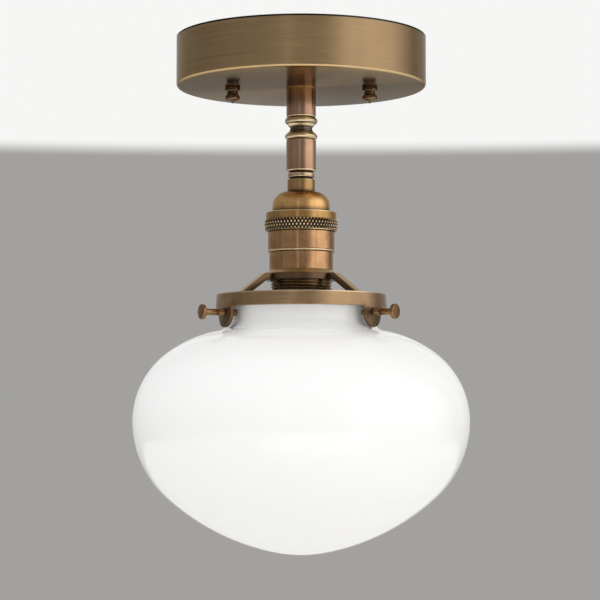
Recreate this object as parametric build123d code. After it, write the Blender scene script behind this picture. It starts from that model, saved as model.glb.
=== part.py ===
from build123d import *

import math
import os

# A semi-flush ceiling light: brass canopy, turned stem, lampholder with a union ring,
# three-armed shade holder and opal glass globe. Millimetres, +Z up. The origin is the
# middle of the ceiling box's face, and everything hangs below it.

# Fits
thread_play = 0.05  # between a thread's crest and the plain bore that stands for its mate
face_play = 0.05  # between end faces that turn or slide against each other
bore_play = 0.3  # between pieces that pass each other freely
cut_past = 1.0  # how far a hole's solid runs past what it goes through

# Shapes that several fasteners share
pan_rim_share = 0.6  # of a pan head's height, up to its rim
rivet_top_share = 0.7  # of a rivet head's radius, at its flat top

# Ceiling bracket
strap_width = 19.0
strap_thickness = 1.6
box_strap_length = 106.0
box_spacing_near = 69.85  # round pan box, 2 3/4 in
box_spacing_far = 88.9  # octagon box, 3 1/2 in
box_slot_width = 4.5
earth_screw_place = 25.0
earth_screw_radius = 2.4
earth_screw_head_radius = 4.4
earth_screw_head_height = 1.9
eyelet_bore = 4.6
eyelet_wall = 1.1
eyelet_flange = 1.8
eyelet_flange_thickness = 0.9
stud_strap_length = 84.0
stud_strap_drop = 4.0  # the ends are set down so that the screw heads clear the ceiling
stud_strap_flat = 40.0  # the middle stretch before the set-down
stud_spacing = 69.85  # 2 3/4 in between the two canopy screws
stud_radius = 2.08  # No. 8 screw
stud_head_radius = 3.9
stud_head_height = 2.0
stud_nut_wall = 2.3
stud_nut_height = 3.0

# Canopy and its knobs
canopy_radius = 63.5
canopy_height = 25.4
canopy_wall = 0.9
canopy_edge_round = 1.4
washer_wall = 1.77  # outside the canopy screw's hole
washer_height = 1.95
knob_neck_wall = 0.62
knob_neck_height = 1.3
knob_ball_wall = 1.72
knob_ball_height = 4.0
knob_tip_radius = 0.7
knob_tip_height = 0.5
knob_skin = 1.95  # brass left under the blind hole

# Stem
pipe_radius = 5.14  # 1/8 in pipe thread
pipe_bore = 3.3
nipple_rise = 7.0  # above the canopy's floor
nipple_grip = 8.0  # the length that is screwed into a tube
lock_nut_wall = 2.0
lock_nut_height = 3.2
lock_washer_width = 2.6
lock_washer_thickness = 0.8
lock_washer_teeth = 12
upper_tube_wall = 2.31
upper_tube_length = 15.3
lower_tube_wall = 2.41
lower_tube_length = 15.9
tube_lip_round = 0.4
spindle_height = 11.7
spindle_spigot = 5.5
bead_radius = 8.3
bead_root_radius = 7.2
bead_height = 3.2
bead_gap = 0.35
spindle_step_radius = 6.75
spindle_step_height = 0.7
waist_radius = 5.6
waist_height = 0.9
check_ring_neck_wall = 1.2  # outside the pipe's hole
check_ring_neck_height = 0.25
check_ring_groove_wall = 0.7
check_ring_groove_height = 0.4
check_ring_wall = 1.68
check_ring_height = 2.85
check_ring_foot_wall = 0.9
check_ring_foot_height = 0.75

# Lampholder cap and union ring
cap_neck_wall = 1.91
cap_neck_height = 6.3
cap_round = 7.0
cap_skirt_height = 4.55
cap_flange = 1.3
cap_flange_thickness = 1.2
cap_wall = 1.2
cap_nipple_reach = 4.0  # below the underside of the dome's top
set_screw_radius = 1.5
set_screw_slot = 0.5
union_wall = 1.6
union_height = 9.9
union_lip_thickness = 1.0
union_knurl_rise = 0.85
union_knurl_height = 5.0
union_knurl_shoulder = 0.6  # share of the rise at the band's two edges
union_foot_height = 0.85
union_edge_round = 0.35

# Lampholder barrel
barrel_wall = 0.7  # under the shade holder's thread
barrel_waist_step = 0.7  # the waist's radius over the thread's crest
barrel_waist_height = 9.25
barrel_sleeve_step = 0.75  # the sleeve's radius over the waist's
barrel_sleeve_height = 10.2
barrel_sleeve_round = 0.5
union_thread_inset = 0.7  # the upper thread's radius under the sleeve's
holder_thread_depth = 0.7
holder_thread_pitch = 1.47
holder_thread_length = 10.4
barrel_ledge_thickness = 0.9
liner_wall = 0.3
insert_drop = 3.0  # below the barrel's top edge
insert_flange_height = 2.5
insert_height = 10.5
shell_wall = 0.35
shell_length = 22.5
shell_thread_depth = 0.25
shell_thread_pitch = 3.63
shell_top_hole = 7.0
terminal_inset = 4.3  # from the insert's side in to the terminals' circle
terminal_screw_radius = 1.5
terminal_head_radius = 2.6
terminal_head_height = 1.6
terminal_screw_length = 6.0
terminal_plate_radius = 3.1
terminal_plate_thickness = 0.8
contact_thickness = 0.5
contact_width = 4.0
contact_drop = 1.5
contact_reach = 3.0  # past the middle, where the bulb's tip presses
contact_slope = 1.2  # how far the tongue runs while it goes down
contact_rivet_place = 4.0
contact_margin = 2.2
rivet_radius = 1.2
rivet_head_radius = 1.9
rivet_head_height = 0.7

# Shade holder
hub_wall = 2.55
hub_chamfer = 1.75
hub_height = 5.2
holder_drop = 12.35  # from the hub's top down to the band's top
band_radius = 42.95
band_flare = 0.45
band_wall = 1.7
band_height = 7.0
band_edge_round = 0.5
band_flange_width = 8.7
band_flange_thickness = 2.2
arm_angles = (87.0, 207.0, 327.0)
arm_width = 6.0
arm_thickness = 3.2
arm_level = 3.0  # the arms run level this far out of the hub
arm_landing = 2.3  # and meet the flange this far from its inner edge
lug_half_width = 7.5
lug_fillet = 1.5
lug_drop = 2.8  # from the band's lower edge down to the thumbscrews' axis
screw_thread_radius = 1.75  # No. 6 screw
screw_thread_depth = 0.3
screw_thread_pitch = 0.794
screw_plain_radius = 1.65
screw_plain_length = 7.0
screw_length = 17.5
screw_point_length = 1.0
screw_head_radius = 3.8
screw_head_thickness = 1.9
screw_head_round = 0.4
screw_spigot_radius = 1.1
screw_spigot_length = 1.1

# Opal glass globe
glass_radius = 85.0
glass_wall = 3.0
glass_lip_play = 0.8  # between the lip and the band
glass_lip_overhang = 4.7
glass_lip_height = 2.6
glass_lip_slope = 1.6
glass_lip_round = 1.2
glass_neck_end = 1.6  # from the thumbscrews' axis down to where the neck starts to flare
glass_neck_fillet = 7.0
# Each arc of the blown form: its radius as a share of the globe's, and the slope of the
# surface's normal where it ends, going up from the side of the bottom.
bottom_round = 0.819
globe_form = ((1.343, -47.8), (0.620, -4.4), (0.507, 54.0))
shoulder_round = 0.734

# Bulb
bulb_base_radius = 13.15
bulb_base_wall = 0.35
bulb_base_thread_depth = 0.75
bulb_base_thread_turns = 4
bulb_base_height = 21.0
bulb_tip_radius = 4.2
bulb_tip_height = 1.2
bulb_insulator_height = 3.8
bulb_length = 108.0
bulb_radius = 30.0
bulb_wall = 0.8
bulb_neck_radius = 13.4
bulb_neck_height = 4.0
bulb_stem_radius = 2.4
bulb_stem_length = 46.0
bulb_stem_flare_height = 8.0
filament_count = 4
filament_radius = 0.9
filament_length = 38.0
filament_circle = 8.0
filament_wire_radius = 0.4
filament_hub_wall = 0.6

# Leads
lead_radius = 1.1
lead_bend = 3.0
lead_top_bend = 4.5
lead_foot_rise = 1.8  # straight up from its ring
lead_pipe_entry = 1.2  # below the pipe's end, where it turns in
lead_ring_thickness = 0.5
lead_ring_width = 1.35
connector_radius = 5.2
connector_tip_radius = 3.0
connector_length = 19.0
connector_bore = 1.6
connector_bore_depth = 10.0
lead_reach = 8.0  # inside a connector
connector_angle = 52.0  # the connectors point this far from the stud strap
connector_wing = 2.2
connector_wing_thickness = 1.6
earth_ring_width = 2.8
earth_ring_thickness = 0.6

# Radii of the lampholder, from the bulb's base outward
shell_bore = bulb_base_radius + thread_play
shell_root = shell_bore + shell_wall
shell_crest = shell_root + shell_thread_depth
liner_inner = shell_crest + thread_play
liner_outer = liner_inner + liner_wall
barrel_bore = liner_outer + thread_play
barrel_ledge_bore = (shell_bore + liner_inner) / 2
holder_thread_root = barrel_bore + barrel_wall
holder_thread_radius = holder_thread_root + holder_thread_depth
barrel_waist_radius = holder_thread_radius + barrel_waist_step
barrel_sleeve_radius = barrel_waist_radius + barrel_sleeve_step
union_thread_radius = barrel_sleeve_radius - union_thread_inset
union_bore = union_thread_radius + thread_play
union_radius = union_bore + union_wall
cap_flange_radius = union_bore - bore_play
cap_radius = cap_flange_radius - cap_flange
terminal_circle = shell_crest - terminal_inset
hub_bore = holder_thread_radius + thread_play
hub_radius = hub_bore + hub_wall

# Radii of the stem and of the glass
pipe_hole = pipe_radius + thread_play
cap_neck_radius = pipe_hole + cap_neck_wall
stud_hole = stud_radius + thread_play
band_foot_radius = band_radius + band_flare
band_bore = band_foot_radius - band_wall
band_flange_bore = band_bore - band_flange_width
glass_lip_radius = band_bore - glass_lip_play
glass_neck_radius = glass_lip_radius - glass_lip_overhang

# Heights, from the ceiling down
stud_strap_top = -strap_thickness
stud_end_top = stud_strap_top - stud_strap_drop
stud_end_bottom = stud_end_top - strap_thickness
canopy_bottom = -canopy_height
knob_washer_bottom = canopy_bottom - washer_height
knob_ball_top = knob_washer_bottom - knob_neck_height
knob_ball_bottom = knob_ball_top - knob_ball_height
stud_bottom = knob_ball_bottom + knob_skin + bore_play
canopy_floor = canopy_bottom + canopy_wall
nipple_top = canopy_floor + nipple_rise
upper_tube_bottom = canopy_bottom - upper_tube_length
spindle_bottom = upper_tube_bottom - spindle_height
lower_tube_bottom = spindle_bottom - lower_tube_length
check_neck_bottom = lower_tube_bottom - check_ring_neck_height
check_groove_bottom = check_neck_bottom - check_ring_groove_height
check_ring_bottom = check_groove_bottom - check_ring_height
cap_top = check_ring_bottom - check_ring_foot_height
dome_top = cap_top - cap_neck_height
skirt_top = dome_top - cap_round
cap_flange_top = skirt_top - cap_skirt_height
cap_bottom = cap_flange_top - cap_flange_thickness
union_top = cap_flange_top + face_play + union_lip_thickness
union_bottom = union_top - union_height
knurl_bottom = union_bottom + union_foot_height
knurl_top = knurl_bottom + union_knurl_height
barrel_top = cap_bottom - face_play
sleeve_top = union_bottom - bore_play / 2
sleeve_bottom = sleeve_top - barrel_sleeve_height
waist_bottom = sleeve_bottom - barrel_waist_height
barrel_bottom = waist_bottom - holder_thread_length
insert_top = barrel_top - insert_drop
insert_ledge = insert_top - insert_flange_height
insert_bottom = insert_top - insert_height
terminal_plate_top = insert_top + terminal_plate_thickness
shell_bottom = insert_bottom - shell_length
contact_bottom = insert_bottom - contact_drop - contact_thickness
bulb_tip = contact_bottom - bore_play / 2
bulb_base_top = bulb_tip - bulb_tip_height - bulb_insulator_height
bulb_base_bottom = bulb_base_top - bulb_base_height
bulb_bottom = bulb_tip - bulb_length
hub_top = waist_bottom - face_play
hub_bottom = hub_top - hub_height
band_top = hub_top - holder_drop
band_bottom = band_top - band_height
flange_bottom = band_top - band_flange_thickness
screw_axis = band_bottom - lug_drop
lip_top = flange_bottom - bore_play
neck_end = screw_axis - glass_neck_end
screw_tip = glass_neck_radius + bore_play / 2
screw_head_seat = screw_tip + screw_length


def turned(*edges):
    """A solid turned about the Z axis from an outline's edges in the X-Z plane."""
    return revolve(make_face(edges), Axis.Z)


def turned_points(*points):
    """A solid turned about the Z axis from corners given as radius and height."""
    corners = [(radius, 0, height) for radius, height in points]
    return turned(Polyline(*corners, close=True))


def line(start, end):
    """A straight edge between two corners given as radius and height."""
    return Line((start[0], 0, start[1]), (end[0], 0, end[1]))


def arc(start, middle, end):
    """A round edge through three points given as radius and height."""
    points = [(radius, 0, height) for radius, height in (start, middle, end)]
    return ThreePointArc(*points)


def around(centre, radius, degrees):
    """The point at an angle on a circle in the X-Z plane, as radius and height."""
    angle = math.radians(degrees)
    return (
        centre[0] + radius * math.cos(angle),
        centre[1] + radius * math.sin(angle),
    )


def round_edge(centre, radius, start_degrees, end_degrees):
    """A round edge about a centre, from one angle to another."""
    middle = (start_degrees + end_degrees) / 2
    return arc(
        around(centre, radius, start_degrees),
        around(centre, radius, middle),
        around(centre, radius, end_degrees),
    )


def joined(points):
    """Straight edges from each corner to the next."""
    return [line(start, end) for start, end in zip(points, points[1:])]


def thread_points(crest, root, top, bottom, pitch):
    """Corners of a thread drawn as rings, crest to root, from the top down."""
    turns = max(1, int((top - bottom) / pitch))
    start = (top + bottom + turns * pitch) / 2
    points = [(crest, top)]
    for turn in range(turns):
        points.append((crest, start - turn * pitch))
        points.append((root, start - (turn + 0.5) * pitch))
    points.append((crest, start - turns * pitch))
    points.append((crest, bottom))
    return [point for place, point in enumerate(points) if point not in points[:place]]


def drilled(radius, low, high, place=(0, 0)):
    """A round hole's solid, standing from one height to another."""
    hole = Cylinder(radius, high - low, align=(Align.CENTER, Align.CENTER, Align.MIN))
    return Pos(place[0], place[1], low) * hole


def crown(radius, rim, top):
    """A domed edge from a rim up to the axis, which it meets square."""
    rise = top - rim
    ball = (radius**2 + rise**2) / (2 * rise)
    lean = math.degrees(math.asin(radius / ball))
    return round_edge((0, top - ball), ball, 90 - lean, 90)


def pan_screw(radius, head_radius, head_height, seat, end):
    """A screw standing on its axis: domed head above its seat, shank down to its end."""
    top = seat + head_height
    rim = seat + head_height * pan_rim_share
    return turned(
        *joined([(0, end), (radius, end), (radius, seat), (head_radius, seat)]),
        line((head_radius, seat), (head_radius, rim)),
        crown(head_radius, rim, top),
        line((0, top), (0, end)),
    )


def hex_nut(wall, height, bore, bottom):
    """A hexagonal nut with its lower face at a height."""
    body = extrude(RegularPolygon(bore + wall, 6, major_radius=False), height)
    return Pos(0, 0, bottom) * body - drilled(bore, bottom - cut_past, bottom + height + cut_past)


# Ceiling bracket


def box_strap():
    """The flat steel strap that two screws hold to the ceiling box, slots along Y."""
    strap = Pos(0, 0, -strap_thickness / 2) * Box(
        strap_width, box_strap_length, strap_thickness
    )
    strap = fillet(strap.edges().filter_by(Axis.Z), strap_width / 4)
    slot_length = (box_spacing_far - box_spacing_near) / 2 + box_slot_width
    slot_place = (box_spacing_far + box_spacing_near) / 4
    slot = extrude(SlotOverall(slot_length, box_slot_width, rotation=90), 4 * strap_thickness)
    for side in (-1, 1):
        strap -= Pos(0, side * slot_place, -2 * strap_thickness) * slot
    strap -= drilled(
        earth_screw_radius + thread_play, -2 * strap_thickness, cut_past, (0, earth_screw_place)
    )
    outer = eyelet_bore + eyelet_wall
    countersink = turned_points(
        (0, 0),
        (outer + eyelet_flange_thickness, 0),
        (outer, -eyelet_flange_thickness),
        (outer, -strap_thickness),
        (0, -strap_thickness),
    )
    return strap - countersink


def strap_eyelet():
    """The hollow rivet that the stud strap swivels on, flared flush into the box strap."""
    outer = eyelet_bore + eyelet_wall
    flange_top = -2 * strap_thickness - 2 * face_play
    bottom = flange_top - eyelet_flange_thickness
    return turned_points(
        (eyelet_bore, 0),
        (outer + eyelet_flange_thickness, 0),
        (outer, -eyelet_flange_thickness),
        (outer, flange_top),
        (outer + eyelet_flange, flange_top),
        (outer + eyelet_flange, bottom),
        (eyelet_bore, bottom),
    )


def earth_screw():
    """The green earth screw: its head is on the strap's underside."""
    upright = pan_screw(
        earth_screw_radius,
        earth_screw_head_radius,
        earth_screw_head_height,
        strap_thickness,
        0,
    )
    return Pos(0, earth_screw_place, 0) * Rot(180, 0, 0) * upright


def stud_strap():
    """The strap across the first one, its ends set down, that carries the canopy screws."""
    flat = stud_strap_flat / 2
    end = stud_strap_length / 2
    top = stud_strap_top - face_play
    slope_end = flat + stud_strap_drop
    side = [
        (-end, top - stud_strap_drop),
        (-slope_end, top - stud_strap_drop),
        (-flat, top),
        (flat, top),
        (slope_end, top - stud_strap_drop),
        (end, top - stud_strap_drop),
        (end, top - stud_strap_drop - strap_thickness),
        (slope_end - strap_thickness / 2, top - stud_strap_drop - strap_thickness),
        (flat - strap_thickness / 2, top - strap_thickness),
        (-flat + strap_thickness / 2, top - strap_thickness),
        (-slope_end + strap_thickness / 2, top - stud_strap_drop - strap_thickness),
        (-end, top - stud_strap_drop - strap_thickness),
    ]
    face = make_face(Polyline(*[(x, 0, z) for x, z in side], close=True))
    strap = extrude(face, strap_width / 2, both=True)
    corners = strap.edges().filter_by(Axis.Z)
    strap = fillet(corners, strap_width / 4)
    low = stud_end_bottom - cut_past
    strap -= drilled(eyelet_bore + eyelet_wall + thread_play, low, cut_past)
    for side_sign in (-1, 1):
        place = (side_sign * stud_spacing / 2, 0)
        strap -= drilled(stud_hole, low, cut_past, place)
    return strap


def both_studs(solid):
    """One copy at each canopy screw, as a group of two separate solids."""
    return Compound([Pos(side * stud_spacing / 2, 0, 0) * solid for side in (-1, 1)])


def canopy_screws():
    """The two screws that hang from the stud strap and come out under the canopy."""
    seat = stud_end_top - face_play
    screw = pan_screw(
        stud_radius, stud_head_radius, stud_head_height, seat, stud_bottom
    )
    return both_studs(screw)


def stud_nuts():
    """Nuts that lock the canopy screws under the stud strap."""
    bottom = stud_end_bottom - face_play - stud_nut_height
    return both_studs(hex_nut(stud_nut_wall, stud_nut_height, stud_hole, bottom))


# Canopy and its knobs


def canopy():
    """The drawn brass cup against the ceiling, with a hole for the stem and two for screws."""
    inner = canopy_radius - canopy_wall
    inner_round = canopy_edge_round - canopy_wall / 2
    outer_centre = (canopy_radius - canopy_edge_round, canopy_bottom + canopy_edge_round)
    inner_centre = (inner - inner_round, canopy_floor + inner_round)
    cup = turned(
        line((inner, 0), (canopy_radius, 0)),
        line((canopy_radius, 0), (canopy_radius, outer_centre[1])),
        round_edge(outer_centre, canopy_edge_round, 0, -90),
        line((outer_centre[0], canopy_bottom), (0, canopy_bottom)),
        line((0, canopy_bottom), (0, canopy_floor)),
        line((0, canopy_floor), (inner_centre[0], canopy_floor)),
        round_edge(inner_centre, inner_round, -90, 0),
        line((inner, inner_centre[1]), (inner, 0)),
    )
    low = canopy_bottom - cut_past
    high = canopy_floor + cut_past
    cup -= drilled(pipe_hole, low, high)
    for side in (-1, 1):
        place = (side * stud_spacing / 2, 0)
        cup -= drilled(stud_radius + bore_play, low, high, place)
    return cup


def knob_washer():
    """The brass collar between a knob and the canopy."""
    top = canopy_bottom
    bottom = knob_washer_bottom
    radius = stud_hole + washer_wall
    bulge = washer_height / 8
    return turned(
        line((stud_hole, top), (radius - bulge, top)),
        arc((radius - bulge, top), (radius, (top + bottom) / 2), (radius - bulge, bottom)),
        *joined([(radius - bulge, bottom), (stud_hole, bottom), (stud_hole, top)]),
    )


def canopy_knob():
    """A flattened ball on a short neck, bored blind for the canopy screw."""
    top = knob_washer_bottom
    neck = stud_hole + knob_neck_wall
    ball = stud_hole + knob_ball_wall
    middle = (knob_ball_top + knob_ball_bottom) / 2
    tip = knob_ball_bottom - knob_tip_height
    bore_end = stud_bottom - bore_play
    return turned(
        *joined([(stud_hole, top), (neck, top), (neck, knob_ball_top)]),
        arc((neck, knob_ball_top), (ball, middle), (knob_tip_radius, knob_ball_bottom)),
        *joined(
            [
                (knob_tip_radius, knob_ball_bottom),
                (0, tip),
                (0, bore_end),
                (stud_hole, bore_end),
                (stud_hole, top),
            ]
        ),
    )


# Stem


def pipe(top, bottom):
    """A piece of threaded pipe, with its end edges broken."""
    edge = (pipe_radius - pipe_bore) / 4
    return turned_points(
        (pipe_bore, top),
        (pipe_radius - edge, top),
        (pipe_radius, top - edge),
        (pipe_radius, bottom + edge),
        (pipe_radius - edge, bottom),
        (pipe_bore, bottom),
    )


def canopy_lock_washer():
    """The toothed washer between the lock nut and the canopy's floor."""
    radius = pipe_hole + lock_washer_width
    washer = turned_points(
        (pipe_hole, canopy_floor),
        (radius, canopy_floor),
        (radius, canopy_floor + lock_washer_thickness),
        (pipe_hole, canopy_floor + lock_washer_thickness),
    )
    notch = Box(lock_washer_width / 2, lock_washer_width / 3, 4 * lock_washer_thickness)
    for tooth in range(lock_washer_teeth):
        turn = Rot(0, 0, 360 / lock_washer_teeth * tooth)
        washer -= turn * Pos(radius, 0, canopy_floor) * notch
    return washer


def canopy_lock_nut():
    """The nut that clamps the canopy between itself and the stem."""
    bottom = canopy_floor + lock_washer_thickness + earth_ring_thickness
    return hex_nut(lock_nut_wall, lock_nut_height, pipe_hole, bottom)


def tube(wall, top, bottom):
    """A stem tube, tapped right through, with rounded end lips."""
    radius = pipe_hole + wall
    lip = tube_lip_round
    return turned(
        line((pipe_hole, top), (radius - lip, top)),
        round_edge((radius - lip, top - lip), lip, 90, 0),
        line((radius, top - lip), (radius, bottom + lip)),
        round_edge((radius - lip, bottom + lip), lip, 0, -90),
        *joined([(radius - lip, bottom), (pipe_hole, bottom), (pipe_hole, top)]),
    )


def stem_spindle():
    """The turned double bead, screwed into the tube above and the tube below."""
    top = upper_tube_bottom
    bottom = spindle_bottom
    bead_top = top - bead_gap
    bead_low = bead_top - bead_height
    step_low = bead_low - spindle_step_height
    waist = (top + bottom) / 2
    lower_top = bottom + bead_gap + bead_height
    outline = joined(
        [
            (pipe_bore, top + spindle_spigot),
            (pipe_radius, top + spindle_spigot),
            (pipe_radius, top),
            (bead_root_radius, top),
            (bead_root_radius, bead_top),
        ]
    )
    outline.append(
        arc(
            (bead_root_radius, bead_top),
            (bead_radius, (bead_top + bead_low) / 2),
            (bead_root_radius, bead_low),
        )
    )
    outline += joined(
        [
            (bead_root_radius, bead_low),
            (spindle_step_radius, bead_low),
            (spindle_step_radius, step_low),
            (waist_radius, waist + waist_height / 2),
            (waist_radius, waist - waist_height / 2),
            (bead_root_radius, lower_top),
        ]
    )
    outline.append(
        arc(
            (bead_root_radius, lower_top),
            (bead_radius, lower_top - bead_height / 2),
            (bead_root_radius, lower_top - bead_height),
        )
    )
    outline += joined(
        [
            (bead_root_radius, lower_top - bead_height),
            (bead_root_radius, bottom),
            (pipe_radius, bottom),
            (pipe_radius, bottom - spindle_spigot),
            (pipe_bore, bottom - spindle_spigot),
            (pipe_bore, top + spindle_spigot),
        ]
    )
    return turned(*outline)


def check_ring():
    """The small turned ring between the stem and the lampholder."""
    neck = pipe_hole + check_ring_neck_wall
    groove = pipe_hole + check_ring_groove_wall
    foot = pipe_hole + check_ring_foot_wall
    side = pipe_hole + check_ring_wall
    curve = check_ring_height / 3
    upper = (side - curve, check_groove_bottom - curve)
    lower = (side - curve, check_ring_bottom + curve)
    return turned(
        *joined(
            [
                (pipe_hole, lower_tube_bottom),
                (neck, lower_tube_bottom),
                (neck, check_neck_bottom),
                (groove, check_neck_bottom),
                (groove, check_groove_bottom),
                (upper[0], check_groove_bottom),
            ]
        ),
        round_edge(upper, curve, 90, 0),
        line((side, upper[1]), (side, lower[1])),
        round_edge(lower, curve, 0, -90),
        *joined(
            [
                (lower[0], check_ring_bottom),
                (foot, check_ring_bottom),
                (foot, cap_top),
                (pipe_hole, cap_top),
                (pipe_hole, lower_tube_bottom),
            ]
        ),
    )


# Lampholder cap and union ring


def lampholder_cap():
    """The domed cap with its neck; its rim's flange is what the union ring holds."""
    dome_centre = (cap_radius - cap_round, skirt_top)
    neck = cap_neck_radius
    cap = turned(
        *joined([(pipe_hole, cap_top), (neck, cap_top), (neck, dome_top)]),
        line((neck, dome_top), (dome_centre[0], dome_top)),
        round_edge(dome_centre, cap_round, 90, 0),
        *joined(
            [
                (cap_radius, skirt_top),
                (cap_radius, cap_flange_top),
                (cap_flange_radius, cap_flange_top),
                (cap_flange_radius, cap_bottom),
                (cap_radius - cap_wall, cap_bottom),
                (cap_radius - cap_wall, skirt_top),
            ]
        ),
        round_edge(dome_centre, cap_round - cap_wall, 0, 90),
        *joined(
            [
                (dome_centre[0], dome_top - cap_wall),
                (pipe_hole, dome_top - cap_wall),
                (pipe_hole, cap_top),
            ]
        ),
    )
    return cap - set_screw_hole(set_screw_radius + thread_play)


def set_screw_hole(radius):
    """A radial cylinder through the back of the cap's neck."""
    length = cap_neck_radius - pipe_radius
    middle = (cap_neck_radius + pipe_radius) / 2
    height = (cap_top + dome_top) / 2
    return Pos(0, middle, height) * Rot(90, 0, 0) * Cylinder(radius, length)


def cap_set_screw():
    """The slotted grub screw that locks the cap on the pipe."""
    screw = set_screw_hole(set_screw_radius) & drilled(
        cap_neck_radius - face_play, dome_top, cap_top
    )
    screw -= drilled(pipe_radius + face_play, dome_top, cap_top)
    height = (cap_top + dome_top) / 2
    slot = Box(4 * set_screw_radius, 2 * set_screw_slot, set_screw_slot)
    return screw - Pos(0, cap_neck_radius, height) * slot


def union_ring():
    """The ring that holds cap and barrel together. The knurled band bulges out round it."""
    lip_bore = cap_radius + bore_play
    edge = union_edge_round
    shoulder = union_radius + union_knurl_rise * union_knurl_shoulder
    crest = union_radius + union_knurl_rise
    foot = union_radius - edge / 2
    seat = cap_flange_top + face_play
    return turned(
        line((lip_bore, union_top), (union_radius - edge, union_top)),
        round_edge((union_radius - edge, union_top - edge), edge, 90, 0),
        *joined(
            [
                (union_radius, union_top - edge),
                (union_radius, knurl_top),
                (shoulder, knurl_top),
            ]
        ),
        arc((shoulder, knurl_top), (crest, (knurl_top + knurl_bottom) / 2), (shoulder, knurl_bottom)),
        *joined(
            [
                (shoulder, knurl_bottom),
                (foot, knurl_bottom),
                (foot, union_bottom),
                (union_bore, union_bottom),
                (union_bore, seat),
                (lip_bore, seat),
                (lip_bore, union_top),
            ]
        ),
    )


# Lampholder barrel and what is inside it


def lampholder_barrel():
    """The brass barrel: upper thread, wide sleeve, narrower waist, shade holder's thread."""
    lip = barrel_sleeve_round
    sleeve = barrel_sleeve_radius
    ledge_top = barrel_bottom + barrel_ledge_thickness
    thread_end = barrel_bottom + holder_thread_depth
    return turned(
        *joined(
            [
                (barrel_bore, barrel_top),
                (union_thread_radius, barrel_top),
                (union_thread_radius, sleeve_top),
                (sleeve, sleeve_top),
                (sleeve, sleeve_bottom + lip),
            ]
        ),
        round_edge((sleeve - lip, sleeve_bottom + lip), lip, 0, -90),
        *joined(
            [
                (sleeve - lip, sleeve_bottom),
                (barrel_waist_radius, sleeve_bottom),
                (barrel_waist_radius, waist_bottom),
            ]
            + thread_points(
                holder_thread_radius,
                holder_thread_root,
                waist_bottom,
                thread_end,
                holder_thread_pitch,
            )
            + [
                (holder_thread_root, barrel_bottom),
                (barrel_ledge_bore, barrel_bottom),
                (barrel_ledge_bore, ledge_top),
                (barrel_bore, ledge_top),
                (barrel_bore, barrel_top),
            ]
        ),
    )


def insulating_liner():
    """The fibre sleeve between the live parts and the barrel."""
    bottom = barrel_bottom + barrel_ledge_thickness
    return turned_points(
        (liner_inner, insert_ledge),
        (liner_outer, insert_ledge),
        (liner_outer, bottom),
        (liner_inner, bottom),
    )


def porcelain_insert():
    """The porcelain block that carries terminals, screw shell and centre contact."""
    block = turned_points(
        (0, insert_top),
        (liner_outer, insert_top),
        (liner_outer, insert_ledge),
        (shell_crest, insert_ledge),
        (shell_crest, insert_bottom),
        (0, insert_bottom),
    )
    hole = rivet_radius + thread_play
    for place in ((-contact_rivet_place, 0), (0, terminal_circle), (0, -terminal_circle)):
        block -= drilled(hole, insert_bottom - cut_past, insert_top + cut_past, place)
    screw_end = insert_top - terminal_screw_length
    for side in (-1, 1):
        place = (side * terminal_circle, 0)
        block -= drilled(
            terminal_screw_radius + thread_play, screw_end, insert_top + cut_past, place
        )
    return block


def terminal_plates():
    """The live plate, riveted to the centre contact, and the neutral one, to the shell."""
    span = terminal_circle - contact_rivet_place
    live = SlotCenterToCenter(span, 2 * terminal_plate_radius)
    middle = -(terminal_circle + contact_rivet_place) / 2
    neutral = SlotArc(CenterArc((0, 0), terminal_circle, 0, 90), 2 * terminal_plate_radius)
    plates = []
    for outline, place, rivet_place in (
        (live, (middle, 0), (-contact_rivet_place, 0)),
        (neutral, (0, 0), (0, terminal_circle)),
    ):
        plate = Pos(*place, insert_top) * extrude(outline, terminal_plate_thickness)
        low = insert_top - cut_past
        high = insert_top + 2 * terminal_plate_thickness
        plate -= drilled(rivet_radius + thread_play, low, high, rivet_place)
        side = -1 if place[0] < 0 else 1
        screw_place = (side * terminal_circle, 0)
        plate -= drilled(terminal_screw_radius + thread_play, low, high, screw_place)
        plates.append(plate)
    return Compound(plates)


def terminal_screws():
    """The screws that clamp the two leads."""
    screw = pan_screw(
        terminal_screw_radius,
        terminal_head_radius,
        terminal_head_height,
        terminal_plate_top + lead_ring_thickness,
        insert_top - terminal_screw_length + face_play,
    )
    return Compound([Pos(side * terminal_circle, 0, 0) * screw for side in (-1, 1)])


def rivet(place, upper_seat, lower_seat):
    """A rivet with a head above and below what it holds."""
    top = upper_seat + rivet_head_height
    bottom = lower_seat - rivet_head_height
    return Pos(*place, 0) * turned_points(
        (0, top),
        (rivet_head_radius * rivet_top_share, top),
        (rivet_head_radius, upper_seat),
        (rivet_radius, upper_seat),
        (rivet_radius, lower_seat),
        (rivet_head_radius, lower_seat),
        (rivet_head_radius * rivet_top_share, bottom),
        (0, bottom),
    )


def socket_rivets():
    """One rivet for the centre contact and two for the screw shell."""
    shell_seat = insert_bottom - shell_wall
    contact_seat = insert_bottom - contact_thickness
    return Compound(
        [
            rivet((-contact_rivet_place, 0), terminal_plate_top, contact_seat),
            rivet((0, terminal_circle), terminal_plate_top, shell_seat),
            rivet((0, -terminal_circle), insert_top, shell_seat),
        ]
    )


def screw_shell():
    """The thin brass shell with a rolled thread that the bulb's base turns in."""
    waves = thread_points(
        shell_crest, shell_root, insert_bottom, shell_bottom, shell_thread_pitch
    )
    shell = turned_points(
        (shell_top_hole, insert_bottom),
        *waves,
        (shell_bore, shell_bottom),
        (shell_bore, insert_bottom - shell_wall),
        (shell_top_hole, insert_bottom - shell_wall),
    )
    for side in (-1, 1):
        place = (0, side * terminal_circle)
        low = insert_bottom - 2 * shell_wall
        shell -= drilled(rivet_radius + thread_play, low, insert_bottom + cut_past, place)
    return shell


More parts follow.
